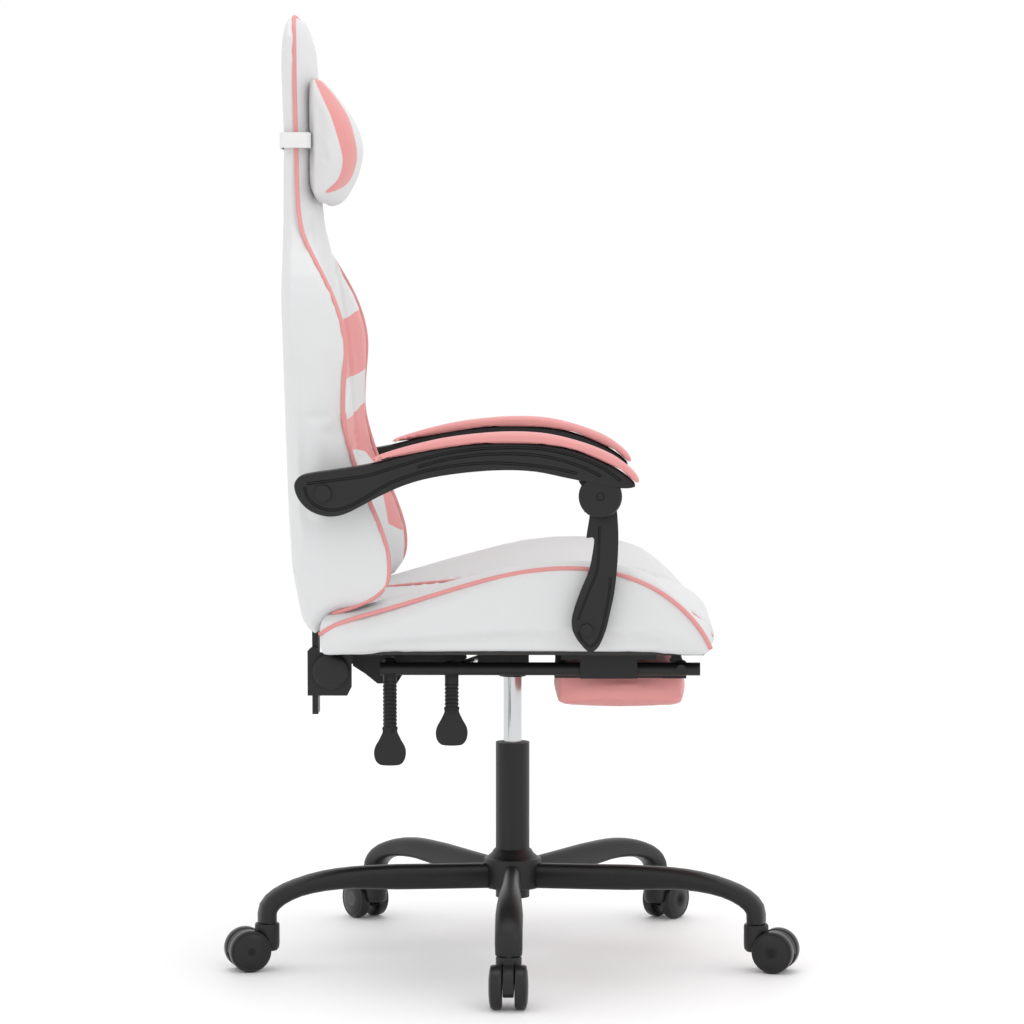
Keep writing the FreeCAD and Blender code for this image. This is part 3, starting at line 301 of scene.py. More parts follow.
def stuff(piece, pressure, cap, slack=0.0):
    """Swell the cover by cloth simulation, from slack inside its shape; no point moves further than cap."""
    for vertex, normal in zip(piece.data.vertices, [v.normal.copy() for v in piece.data.vertices]):
        vertex.co -= normal * slack
    before = [v.co.copy() for v in piece.data.vertices]
    cloth = piece.modifiers.new("cloth", "CLOTH")
    cloth.settings.use_pressure = True
    cloth.settings.uniform_pressure_force = pressure
    cloth.settings.effector_weights.gravity = 0
    cloth.settings.quality = 4
    cloth.settings.tension_stiffness = 12
    cloth.settings.bending_stiffness = 2
    last_frame = 20
    cloth.point_cache.frame_end = last_frame
    for step in range(1, last_frame + 1):
        bpy.context.scene.frame_set(step)
    apply_modifier(piece, "cloth")
    bpy.context.scene.frame_set(1)
    for vertex, start in zip(piece.data.vertices, before):
        move = vertex.co - start
        if move.length > cap:
            vertex.co = start + move * (cap / move.length)


def refine(piece):
    split = piece.modifiers.new("refine", "SUBSURF")
    split.levels = 1
    split.render_levels = 1
    apply_modifier(piece, "refine")


def surface_of(piece):
    mesh = piece.data
    return BVHTree.FromPolygons([v.co for v in mesh.vertices], [p.vertices for p in mesh.polygons])


def settle(path, piece, lift=0.0):
    """The path's points moved onto the piece's surface."""
    tree = surface_of(piece)
    spots = []
    for point in path:
        spot, normal, _, _ = tree.find_nearest(Vector(point))
        spots.append(spot + normal * lift)
    return spots


def press_seam(piece, path, depth, width):
    """A sewn line: the cover is pulled in along the path."""
    tree = kdtree.KDTree(len(path))
    for index, point in enumerate(path):
        tree.insert(point, index)
    tree.balance()
    moved = []
    for vertex in piece.data.vertices:
        _, _, gap = tree.find(vertex.co)
        if gap < width:
            share = (1 + math.cos(math.pi * gap / width)) / 2
            moved.append((vertex, vertex.normal.copy() * depth * share))
    for vertex, move in moved:
        vertex.co -= move


def even_path(path, piece, lift):
    """The path laid on the piece and evened out, twice, so that a cord along it runs in one sweep."""
    spots = path
    last = len(path) - 1
    for rounds in (20, 12):
        spots = settle(spots, piece, lift)
        for _ in range(rounds):
            spots = [spots[0], *((spots[i - 1] + 2 * spots[i] + spots[i + 1]) / 4
                                 for i in range(1, last)), spots[last]]
    return spots


def piping(name, path, piece, radius):
    """A sewn-in pink cord along a seam: a round tube that sits partly in the surface."""
    spots = even_path(path, piece, radius * 0.75)
    curve = bpy.data.curves.new(name, "CURVE")
    curve.dimensions = "3D"
    curve.bevel_depth = radius
    curve.bevel_resolution = 3
    curve.use_fill_caps = True
    spline = curve.splines.new("POLY")
    spline.points.add(len(spots) - 1)
    for point, spot in zip(spline.points, spots):
        point.co = (*spot, 1)
    tube = bpy.data.objects.new(name, curve)
    bpy.context.scene.collection.objects.link(tube)
    select_only(tube)
    bpy.ops.object.convert(target="MESH")
    tube.data.materials.clear()
    tube.data.materials.append(pink_leather)
    face_out(tube)
    smooth(tube)
    return tube


SEAT_HALF = 0.256
SIDE_TOP = [(0.258, 0.456), (0.2585, 0.493), (0.247, 0.500), (0.205, 0.507), (0.157, 0.520),
            (0.104, 0.536), (0.044, 0.553), (-0.004, 0.565), (-0.053, 0.571), (-0.100, 0.572),
            (-0.148, 0.567), (-0.188, 0.554), (-0.223, 0.529), (-0.245, 0.507), (-0.262, 0.489),
            (-0.273, 0.471), (-0.273, 0.459), (-0.262, 0.455)]
PAN_TOP = [(0.258, 0.456), (0.258, 0.492), (0.240, 0.500), (0.200, 0.503), (0.157, 0.505),
           (0.104, 0.509), (0.044, 0.514), (-0.004, 0.517), (-0.053, 0.519), (-0.100, 0.521),
           (-0.148, 0.522), (-0.188, 0.521), (-0.230, 0.515), (-0.262, 0.501), (-0.280, 0.484),
           (-0.286, 0.467), (-0.283, 0.456), (-0.270, 0.455)]
SEAT_FLOOR = [(-0.150, 0.455), (0.0, 0.455), (0.150, 0.455)]
# across the seat: share of the half width, how much of the side profile is left, and the crown
SEAT_ROWS = [(1.0, 1.0, 0.0), (0.995, 1.0, 0.001), (0.97, 1.0, 0.004), (0.92, 1.0, 0.007),
             (0.86, 0.93, 0.006), (0.80, 0.72, 0.004), (0.74, 0.40, 0.002), (0.69, 0.14, 0),
             (0.64, 0.03, 0), (0.5, 0, 0.002), (0.25, 0, 0.005), (0, 0, 0.006)]


def seat_ring(share, side, rise):
    """One side-view loop of the seat at a share of its half width."""
    corners = []
    for (side_y, side_z), (pan_y, pan_z) in zip(SIDE_TOP, PAN_TOP):
        lift = rise if 0.49 < pan_z else 0
        corners.append((pan_y + (side_y - pan_y) * side, pan_z + (side_z - pan_z) * side + lift, 0))
    loop = curve_through(corners, 3) + [Vector((y, z, 0)) for y, z in SEAT_FLOOR]
    return [Vector((share * SEAT_HALF, p.x, p.y)) for p in loop]


COVER_BOTTOM = 0.4535
rows = [seat_ring(*row) for row in SEAT_ROWS]
rows += [[Vector((-p.x, p.y, p.z)) for p in ring] for ring in rows[-2::-1]]
seat = loft("seat_cover", rows, white_leather)
even_out(seat, voxel=0.0055, rounds=3)
stuff(seat, pressure=2.0, cap=0.007)
for vertex in seat.data.vertices:
    vertex.co.z = max(vertex.co.z, COVER_BOTTOM)
refine(seat)
side_edge, inner_seam = rows[0][2:48], rows[7][4:45]
for side in (1, -1):
    edge = [Vector((side * p.x, p.y, p.z)) for p in side_edge]
    name = "left" if side > 0 else "right"
    cord = piping(f"seat_piping_{name}", edge, seat, radius=0.0030)
    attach(cord, "seat")
    inner = settle([Vector((side * p.x, p.y, p.z)) for p in inner_seam], seat)
    press_seam(seat, inner, depth=0.004, width=0.012)
    inner_cord = piping(f"seat_inner_piping_{name}", inner, seat, radius=0.0024)
    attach(inner_cord, "seat")
smooth(seat)
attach(seat, "seat")
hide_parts("seat_cushion")

# Back: foam over the tube frame in one sewn cover, narrow at the head, wide at the shoulders,
# with side wings that come forward. Piping runs all along the wings' and head's edge.
BACK_HEIGHTS = [0.4700, 0.4800, 0.5000, 0.5200, 0.5400, 0.5660, 0.5900, 0.6090, 0.6360, 0.6630, 0.7120,
                0.7530, 0.7710, 0.7890, 0.8160, 0.8420, 0.8690, 0.8900, 0.9130, 0.9380, 0.9660, 0.9960,
                1.0200, 1.0400, 1.0800, 1.1600, 1.2000, 1.2600, 1.3000, 1.3200, 1.3300]


def between(table, height):
    """The value at a height, straight between the table's (height, value) rows."""
    for (low, first), (high, last) in zip(table, table[1:]):
        if height <= high:
            share = (height - low) / (high - low)
            return first + (last - first) * max(0, share)
    return table[-1][1]


EDGE_FRONT = [(0.470, 0.262), (0.494, 0.259), (0.505, 0.222), (0.516, 0.178), (0.540, 0.162),
              (0.566, 0.158), (0.590, 0.160), (0.609, 0.165), (0.636, 0.174), (0.663, 0.185),
              (0.712, 0.205), (0.753, 0.216), (0.771, 0.219), (0.789, 0.220), (0.816, 0.218),
              (0.842, 0.216), (0.869, 0.215), (0.890, 0.217), (0.913, 0.223), (0.938, 0.232),
              (0.966, 0.248), (0.996, 0.266), (1.020, 0.280), (1.040, 0.2885), (1.060, 0.2895),
              (1.160, 0.292), (1.204, 0.294), (1.260, 0.295), (1.300, 0.296), (1.328, 0.300)]
MIDDLE_FRONT = [(0.470, 0.262), (0.494, 0.259), (0.512, 0.222), (0.540, 0.219), (0.600, 0.222),
                (0.700, 0.232), (0.850, 0.246), (0.960, 0.259), (1.030, 0.272), (1.060, 0.2765),
                (1.250, 0.280), (1.300, 0.283), (1.320, 0.288), (1.330, 0.296)]
EDGE_REAR = [(0.470, 0.283), (0.563, 0.300), (0.648, 0.305), (0.931, 0.314), (1.160, 0.3135),
             (1.260, 0.317), (1.300, 0.317), (1.320, 0.315), (1.330, 0.312)]
HALF_WIDTH = [(0.470, 0.228), (0.494, 0.236), (0.540, 0.246), (0.600, 0.250), (0.700, 0.250),
              (0.780, 0.252), (0.860, 0.259), (0.910, 0.260), (0.950, 0.255), (0.980, 0.238),
              (1.000, 0.216), (1.020, 0.186), (1.040, 0.158), (1.060, 0.144), (1.100, 0.137),
              (1.260, 0.135), (1.300, 0.127), (1.320, 0.108), (1.328, 0.085)]
# across the back: share of half width, how much of the wing is left there
BACK_ROWS = [(1.0, 1.0), (0.985, 1.02), (0.95, 1.0), (0.90, 0.88), (0.84, 0.66), (0.78, 0.38),
             (0.72, 0.14), (0.66, 0.03), (0.5, 0), (0.25, -0.03), (0, -0.04)]
BACK_ROWS += [(-share, wing) for share, wing in BACK_ROWS[-2::-1]]


def front_point(share, wing, height):
    edge, middle = between(EDGE_FRONT, height), between(MIDDLE_FRONT, height)
    return Vector((share * between(HALF_WIDTH, height), middle + (edge - middle) * wing, height))


def gap_to_outline(spot, outline):
    """How far inside the closed outline the (rearward, upward) spot lies; negative outside."""
    inside, nearest = False, 9.0
    for first, last in zip(outline, outline[1:] + outline[:1]):
        run = (last[0] - first[0], last[1] - first[1])
        offset = (spot[0] - first[0], spot[1] - first[1])
        along = (offset[0] * run[0] + offset[1] * run[1]) / (run[0] ** 2 + run[1] ** 2)
        along = min(1, max(0, along))
        nearest = min(nearest, math.hypot(offset[0] - along * run[0], offset[1] - along * run[1]))
        if (first[1] > spot[1]) != (last[1] > spot[1]):
            if spot[0] < first[0] + (spot[1] - first[1]) / (last[1] - first[1]) * run[0]:
                inside = not inside
    return nearest if inside else -nearest


def mark_insert(piece, measure):
    """Each point's distance inside the pink insert, for the leather to read."""
    layer = piece.data.attributes.new("insert", "FLOAT", "POINT")
    for vertex, item in zip(piece.data.vertices, layer.data):
        item.value = measure(vertex)


# the pink parts of each wing's inner face, rearward and upward
WING_BAND = [(0.290, 0.872), (0.249, 0.900), (0.235, 0.912), (0.221, 0.921), (0.180, 0.945),
             (0.180, 0.850), (0.214, 0.832), (0.230, 0.822), (0.247, 0.814), (0.290, 0.790)]
WING_FLANK = [(0.255, 0.722), (0.247, 0.737), (0.242, 0.750), (0.235, 0.762), (0.227, 0.774),
              (0.217, 0.784), (0.180, 0.805), (0.120, 0.700), (0.120, 0.566), (0.159, 0.586),
              (0.172, 0.592), (0.186, 0.601), (0.189, 0.620), (0.194, 0.645), (0.206, 0.690),
              (0.219, 0.708), (0.237, 0.717)]


OUTSIDE = -0.01
PANEL_EDGE = 0.008


def wing_insert(vertex):
    """The pink parts of the front, short of the side panels and never on the rear."""
    if vertex.normal.y > 0.2 or vertex.co.y > 0.270:
        return OUTSIDE
    spot = (vertex.co.y, vertex.co.z)
    gap = max(gap_to_outline(spot, WING_BAND), gap_to_outline(spot, WING_FLANK))
    return min(gap, between(HALF_WIDTH, vertex.co.z) - abs(vertex.co.x) - PANEL_EDGE)


CORNER_FALL = 0.27
back_leather = leather("white_leather_with_inserts", WHITE, PINK)
rows = []
for height in BACK_HEIGHTS:
    ring = [front_point(share, wing, height) for share, wing in BACK_ROWS]
    half = between(HALF_WIDTH, height)
    for step in range(9):
        share = -1 + step / 4
        rear = between(EDGE_REAR, height) - CORNER_FALL * (half * share ** 2) ** 2
        ring.append(Vector((share * half, rear, height)))
    rows.append(ring)
back = loft("back_cover", rows, back_leather)
even_out(back, voxel=0.006, rounds=3)
stuff(back, pressure=1.6, cap=0.006, slack=0.003)
refine(back)
mark_insert(back, wing_insert)
edge_spots = [front_point(1, 1, height) for height in BACK_HEIGHTS[2:]]
crown = [Vector((HALF_WIDTH[-1][1] * share, 0.302, 1.3305)) for share in (0.6, 0.2, -0.2, -0.6)]
edge = curve_through(edge_spots + crown + [Vector((-p.x, p.y, p.z)) for p in reversed(edge_spots)], 4)
back_cord = piping("back_piping", edge, back, radius=0.0030)
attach(back_cord, "back")
for side in (1, -1):
    wing_foot = [front_point(side * 0.70, 0.10, height) for height in BACK_HEIGHTS[3:24]]
    press_seam(back, settle(curve_through(wing_foot, 4), back), depth=0.004, width=0.012)
CHANNEL_STEP, CHANNEL_RISE = 0.004, 0.00002
for height in (0.62, 0.70, 0.78, 0.86, 0.94):
    channel = [Vector((x * CHANNEL_STEP, between(MIDDLE_FRONT, height), height + CHANNEL_RISE * x * x))
               for x in range(-42, 43)]
    press_seam(back, settle(channel, back), depth=0.0035, width=0.011)
smooth(back)
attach(back, "back")
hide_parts("back_cushion", "back_wings", "back_rear_panel")

# Head pillow: a stuffed half-moon, white with a pink crescent let into each end, held by a
# woven elastic strap.
PILLOW_SIDE = [(0.274, 1.245), (0.263, 1.231), (0.246, 1.210), (0.229, 1.186), (0.218, 1.161),
               (0.2145, 1.143), (0.2195, 1.115), (0.232, 1.088), (0.246, 1.067), (0.259, 1.059),
               (0.270, 1.062), (0.2765, 1.090), (0.2770, 1.150), (0.2770, 1.215)]
CRESCENT = [(0.274, 1.243), (0.258, 1.206), (0.248, 1.184), (0.2395, 1.158), (0.2335, 1.136),
            (0.232, 1.118), (0.239, 1.096), (0.256, 1.079), (0.243, 1.081), (0.228, 1.092),
            (0.218, 1.112), (0.2145, 1.133), (0.2165, 1.153), (0.225, 1.181), (0.240, 1.206),
            (0.258, 1.228)]
CRESCENT_EDGE = [(p.x, p.y) for p in curve_through([(y, z, 0) for y, z in CRESCENT], 4, closed=True)]
MIDDLE_PANEL = 0.060


def crescent_insert(vertex):
    """The crescent on each end of the pillow, up to its middle panel."""
    return min(gap_to_outline((vertex.co.y, vertex.co.z), CRESCENT_EDGE), abs(vertex.co.x) - MIDDLE_PANEL)


pillow_leather = leather("white_leather_with_crescent", WHITE, PINK)
outline = curve_through([(y, z, 0) for y, z in PILLOW_SIDE], 3, closed=True)
PILLOW_HALF, PILLOW_REAR, PILLOW_MIDDLE = 0.127, 0.2770, 1.152
rows = []
for share in (-1, -0.97, -0.9, -0.78, -0.6, -0.35, 0, 0.35, 0.6, 0.78, 0.9, 0.97, 1):
    full = (1 - abs(share) ** 5) ** 0.5 * 0.50 + 0.50
    rows.append([Vector((PILLOW_HALF * share, PILLOW_REAR + (p.x - PILLOW_REAR) * full,
                         PILLOW_MIDDLE + (p.y - PILLOW_MIDDLE) * (0.68 + 0.32 * full))) for p in outline])
pillow = loft("pillow_cover", rows, pillow_leather)
even_out(pillow, voxel=0.0042, rounds=3)
stuff(pillow, pressure=3.0, cap=0.005, slack=0.0015)
for vertex in pillow.data.vertices:
    vertex.co.y = min(vertex.co.y, PILLOW_REAR + 0.001)
refine(pillow)
mark_insert(pillow, crescent_insert)
smooth(pillow)
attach(pillow, "head_pillow")
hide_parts("head_pillow")

elastic = Recipe("woven_elastic", roughness=0.75)
rib = elastic.node("ShaderNodeTexWave", {"wave_type": "BANDS", "bands_direction": "Z"},
                   Vector=elastic.place, Scale=210, Distortion=0.4, output="Fac")
weave = elastic.noise(900)
elastic.colour(elastic.mix(rib * 0.6 + weave * 0.4, (0.74, 0.74, 0.735), (0.86, 0.86, 0.855)))
elastic.bump(rib * 0.7 + weave * 0.3, strength=0.5, distance=0.0008)
low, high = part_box("pillow_strap")
bpy.ops.object.select_all(action="DESELECT")
STRAP_POINTS = 64
bpy.ops.mesh.primitive_circle_add(vertices=STRAP_POINTS, radius=1)
strap = bpy.context.object
strap.name = "elastic_strap"
STRAP_FRONT = 0.2745
STRAP_REAR = between(EDGE_REAR, high.z + 0.06) + 0.0035
for step, vertex in enumerate(strap.data.vertices):
    angle = 2 * math.pi * step / STRAP_POINTS
    x = math.copysign(abs(math.cos(angle)) ** 0.25, math.cos(angle))
    y = math.copysign(abs(math.sin(angle)) ** 0.25, math.sin(angle))
    vertex.co = ((high.x - 0.0005) * x,
                 (STRAP_FRONT + STRAP_REAR) / 2 + (STRAP_REAR - STRAP_FRONT) / 2 * y, low.z)
bpy.ops.object.mode_set(mode="EDIT")
bpy.ops.mesh.select_all(action="SELECT")
STRAP_BANDS = 6
for band in range(STRAP_BANDS):
    bpy.ops.mesh.extrude_region_move(TRANSFORM_OT_translate={"value": (0, 0, (high.z - low.z) / STRAP_BANDS)})
bpy.ops.object.mode_set(mode="OBJECT")
strap.data.materials.append(elastic.material)
face_out(strap)
thick = strap.modifiers.new("thick", "SOLIDIFY")
thick.thickness = 0.0018
thick.offset = -1
apply_modifier(strap, "thick")
smooth(strap, 40)
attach(strap, "head_pillow")
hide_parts("pillow_strap")

# Moulded black plastic: satin for the armrest beams, legs, caps, lever grips, saddles and caster
# housings, and a smoother nylon for the wheels.


def plastic(name, roughness, grain):
    moulded = Recipe(name, roughness)
    speckle = moulded.noise(1400)
    broad = moulded.noise(14, detail=3)
    moulded.colour(moulded.mix(broad, (0.0060, 0.0060, 0.0065), (0.0095, 0.0095, 0.0100)))
    moulded.roughness(roughness - 0.05 + broad * 0.1 + speckle * 0.05)
    moulded.bump(speckle, strength=grain, distance=0.0004)
    moulded.shader.inputs["Specular IOR Level"].default_value = 0.38
    return moulded.material


black_plastic = plastic("satin_black_plastic", roughness=0.42, grain=0.25)
black_nylon = plastic("caster_black_nylon", roughness=0.30, grain=0.12)


def plate(name, outline, left, right, edge, segments=4):
    """A flat moulding: a smooth side outline (rearward, upward) between two places across."""
    bpy.ops.object.select_all(action="DESELECT")
    bpy.ops.mesh.primitive_circle_add(vertices=len(outline), radius=1, fill_type="NGON")
    piece = bpy.context.object
    piece.name = name
    for vertex, point in zip(piece.data.vertices, outline):
        vertex.co = (left, point[0], point[1])
    bpy.ops.object.mode_set(mode="EDIT")
    bpy.ops.mesh.select_all(action="SELECT")
    bpy.ops.mesh.extrude_region_move(TRANSFORM_OT_translate={"value": (right - left, 0, 0)})
    bpy.ops.mesh.select_all(action="SELECT")
    bpy.ops.mesh.normals_make_consistent(inside=False)
    bpy.ops.object.mode_set(mode="OBJECT")
    round_edge = piece.modifiers.new("round", "BEVEL")
    round_edge.width = edge
    round_edge.segments = segments
    round_edge.limit_method = "ANGLE"
    round_edge.angle_limit = math.radians(50)
    apply_modifier(piece, "round")
    piece.data.materials.append(black_plastic)
    smooth(piece, 40)
    return piece


def lathe(name, profile, material, steps=48):
    """Turned about Z: a circle drawn out along (radius, height) points."""
    profile = [(max(radius, 0.00001), height) for radius, height in profile]
    radius, height = profile[0]
    bpy.ops.object.select_all(action="DESELECT")
    bpy.ops.mesh.primitive_circle_add(vertices=steps, radius=radius, location=(0, 0, height))
    piece = bpy.context.object
    piece.name = name
    bpy.ops.object.transform_apply()
    bpy.ops.object.mode_set(mode="EDIT")
    bpy.ops.mesh.select_all(action="SELECT")
    for next_radius, next_height in profile[1:]:
        bpy.ops.mesh.extrude_region_move(TRANSFORM_OT_translate={"value": (0, 0, next_height - height)})
        bpy.ops.transform.resize(value=(next_radius / radius, next_radius / radius, 1))
        radius, height = next_radius, next_height
    bpy.ops.object.mode_set(mode="OBJECT")
    piece.data.materials.append(material)
    face_out(piece)
    smooth(piece, 35)
    return piece


def join(name, *pieces):
    bpy.ops.object.select_all(action="DESELECT")
    for piece in pieces:
        piece.select_set(True)
    bpy.context.view_layer.objects.active = pieces[0]
    bpy.ops.object.join()
    pieces[0].name = name
    return pieces[0]


def mirror_copy(piece, name):
    twin = bpy.data.objects.new(name, piece.data.copy())
    bpy.context.scene.collection.objects.link(twin)
    twin.data.transform(Matrix.Scale(-1, 4, (1, 0, 0)))
    twin.data.flip_normals()
    return twin


# Armrest: a hollow beam that sweeps up from the rear bolt and forward over the elbow pivot,
# with two moulded grooves along its side, and a padded pink top screwed down on it.
BEAM_TOP = [(-0.168, 0.686), (-0.150, 0.703), (-0.123, 0.718), (-0.087, 0.732), (-0.045, 0.740),
            (0.000, 0.742), (0.045, 0.741), (0.091, 0.735), (0.138, 0.726), (0.186, 0.714),
            (0.234, 0.706), (0.273, 0.700)]
BEAM_TAIL = [(0.284, 0.692), (0.286, 0.682), (0.281, 0.668), (0.270, 0.655), (0.255, 0.647),
             (0.238, 0.644), (0.220, 0.647), (0.199, 0.657), (0.173, 0.671), (0.139, 0.686),
             (0.103, 0.696), (0.055, 0.703), (0.007, 0.706), (-0.035, 0.704), (-0.075, 0.696),
             (-0.115, 0.688), (-0.150, 0.682)]
beam_outline = curve_through([(y, z, 0) for y, z in BEAM_TOP + BEAM_TAIL], 4, closed=True)
low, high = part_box("armrest_right")
BEAM_OUTSIDE, BEAM_INSIDE = low.x, high.x
beam = plate("armrest_beam_right", beam_outline, BEAM_OUTSIDE, BEAM_INSIDE, edge=0.006)


def groove(piece, side_x, path, depth, width):
    """A channel pressed into one side face along a path of (rearward, upward) points."""
    cutter = bpy.data.curves.new("cutter", "CURVE")
    cutter.dimensions = "3D"
    cutter.bevel_depth = width / 2
    cutter.bevel_resolution = 3
    cutter.use_fill_caps = True
    line = curve_through([(side_x - math.copysign(depth - width / 2, side_x), y, z) for y, z in path], 6)
    spline = cutter.splines.new("POLY")
    spline.points.add(len(line) - 1)
    for point, spot in zip(spline.points, line):
        point.co = (*spot, 1)
    tool = bpy.data.objects.new("cutter", cutter)
    bpy.context.scene.collection.objects.link(tool)
    select_only(tool)
    bpy.ops.object.convert(target="MESH")
    face_out(tool)
    cut = piece.modifiers.new("groove", "BOOLEAN")
    cut.operation = "DIFFERENCE"
    cut.solver = "EXACT"
    cut.object = tool
    apply_modifier(piece, "groove")
    bpy.data.objects.remove(tool)


GROOVES = ([(0.269, 0.688), (0.230, 0.693), (0.189, 0.699), (0.158, 0.708), (0.122, 0.719), (0.086, 0.728),
            (0.045, 0.734), (0.004, 0.736), (-0.037, 0.735), (-0.067, 0.730), (-0.098, 0.721),
            (-0.126, 0.708), (-0.148, 0.692)],
           [(0.122, 0.710), (0.086, 0.720), (0.045, 0.726), (0.004, 0.728), (-0.037, 0.726), (-0.067, 0.720),
            (-0.098, 0.710), (-0.122, 0.698)],
           [(0.272, 0.684), (0.268, 0.670), (0.255, 0.658), (0.236, 0.653), (0.213, 0.658), (0.189, 0.671),
            (0.166, 0.685), (0.138, 0.697), (0.107, 0.706), (0.066, 0.713), (0.025, 0.716), (-0.016, 0.714),
            (-0.057, 0.709), (-0.090, 0.702)])
for path in GROOVES:
    groove(beam, BEAM_OUTSIDE, path, depth=0.0024, width=0.0042)
smooth(beam, 40)
left_beam = mirror_copy(beam, "armrest_beam_left")
PAD_TOP = [(0.186, 0.715), (0.181, 0.722), (0.138, 0.736), (0.091, 0.748), (0.043, 0.755),
           (-0.005, 0.758), (-0.052, 0.755), (-0.099, 0.743), (-0.135, 0.728), (-0.159, 0.711),
           (-0.171, 0.697), (-0.172, 0.690)]
PAD_HALF, PAD_CLEARANCE = 0.029, 0.0022
pad_middle = (BEAM_OUTSIDE + BEAM_INSIDE) / 2
under = curve_through([(y, z, 0) for y, z in BEAM_TOP[:10]], 3)
over = curve_through([(y, z, 0) for y, z in PAD_TOP], 3)[1:-1]
rows = []
for share in (-1, -0.98, -0.9, -0.75, -0.5, -0.2, 0.2, 0.5, 0.75, 0.9, 0.98, 1):
    x = pad_middle + PAD_HALF * share
    drop = 0.0015 + 0.0045 * abs(share) ** 6
    rows.append([Vector((x, p.x, p.y + PAD_CLEARANCE)) for p in under]
                + [Vector((x, p.x, p.y - drop)) for p in over])
pad = loft("armrest_pad_cover_right", rows, pink_leather)
even_out(pad, voxel=0.003, rounds=3)
stuff(pad, pressure=1.5, cap=0.0025)
refine(pad)
smooth(pad)
left_pad = mirror_copy(pad, "armrest_pad_cover_left")
for side, arm, top in (("right", beam, pad), ("left", left_beam, left_pad)):
    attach(arm, f"armrest_{side}")
    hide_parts(f"armrest_{side}")
    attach(top, f"armrest_{side}")
    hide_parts(f"armrest_pad_{side}")

# Armrest leg: a solid moulding with a waist, between the elbow pivot and the seat's side
# bolt. The elbow's round cap covers the pivot screw.
LEG_REAR = [(-0.107, 0.668), (-0.107, 0.645), (-0.103, 0.618), (-0.104, 0.6145), (-0.1125, 0.6140),
            (-0.1115, 0.597), (-0.106, 0.570), (-0.095, 0.543), (-0.086, 0.517), (-0.083, 0.500),
            (-0.086, 0.486), (-0.095, 0.472), (-0.107, 0.461)]
LEG_FRONT = [(-0.117, 0.466), (-0.124, 0.478), (-0.130, 0.495), (-0.135, 0.517), (-0.140, 0.541),
             (-0.143, 0.567), (-0.145, 0.597), (-0.145, 0.630), (-0.141, 0.668), (-0.134, 0.684),
             (-0.121, 0.690), (-0.109, 0.683)]
leg_outline = curve_through([(y, z, 0) for y, z in LEG_REAR + LEG_FRONT], 4, closed=True)
low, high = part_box("armrest_leg_right")
leg = plate("armrest_leg_moulding_right", leg_outline, low.x, high.x, edge=0.0045)
LEG_GROOVES = ([(-0.120, 0.630), (-0.119, 0.600), (-0.117, 0.572), (-0.108, 0.548), (-0.097, 0.520),
                (-0.092, 0.505)],
               [(-0.092, 0.488), (-0.097, 0.478), (-0.108, 0.469), (-0.118, 0.478), (-0.124, 0.495),
                (-0.129, 0.517), (-0.133, 0.541), (-0.135, 0.562)])
for path in LEG_GROOVES:
    groove(leg, low.x, path, depth=0.0018, width=0.0034)
smooth(leg, 40)
low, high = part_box("elbow_pivot_right")
pivot_axis = (Matrix.Translation((low.x, (low.y + high.y) / 2, (low.z + high.z) / 2))
              @ Matrix.Rotation(math.pi / 2, 4, "Y"))
CAP_PROFILE = [(0, 0.0008), (0.0032, 0.0008), (0.0045, 0.0014), (0.0058, 0.0), (0.024, 0.0002),
               (0.0275, 0.0014), (0.029, 0.0038), (0.029, 0.009), (0.0285, 0.0095), (0.0, 0.0095)]
SHANK_PROFILE = [(0, 0.004), (0.012, 0.004), (0.012, 0.0395), (0, 0.0395)]
cap = lathe("elbow_cap_right", CAP_PROFILE, black_plastic)
shank = lathe("elbow_shank", SHANK_PROFILE, black_plastic)
elbow = join("elbow_pivot_cap_right", cap, shank)
elbow.data.transform(pivot_axis)
for side in ("right", "left"):
    moulding = leg if side == "right" else mirror_copy(leg, "armrest_leg_moulding_left")
    pivot = elbow if side == "right" else mirror_copy(elbow, "elbow_pivot_cap_left")
    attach(moulding, f"leg_{side}")
    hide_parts(f"armrest_leg_{side}")
    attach(pivot, f"leg_{side}")
    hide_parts(f"elbow_pivot_{side}")

# Powder-coated steel: base, column, tray, hinge, back frame and footrest rails. The coat is
# baked on, which leaves a slight orange peel.
coat = Recipe("black_powder_coat", roughness=0.38)
orange_peel = coat.noise(420)
broad = coat.noise(7, detail=3)
coat.colour(coat.mix(broad, (0.0055, 0.0055, 0.0060), (0.0090, 0.0092, 0.0096)))
coat.roughness(0.33 + broad * 0.08 + orange_peel * 0.06)
coat.bump(orange_peel, strength=0.22, distance=0.0005)
coat.shader.inputs["Specular IOR Level"].default_value = 0.38
black_steel = coat.material

# Star base: the hub is turned; each arm is a steel tube, tall and narrow at the hub, that is
# flattened as it bends down to its caster.
CASTER_RADIUS = 0.358
BEND_START, BEND_TOP = 0.235, 0.122
BEND_REACH, BEND_DROP = 0.123, 0.044


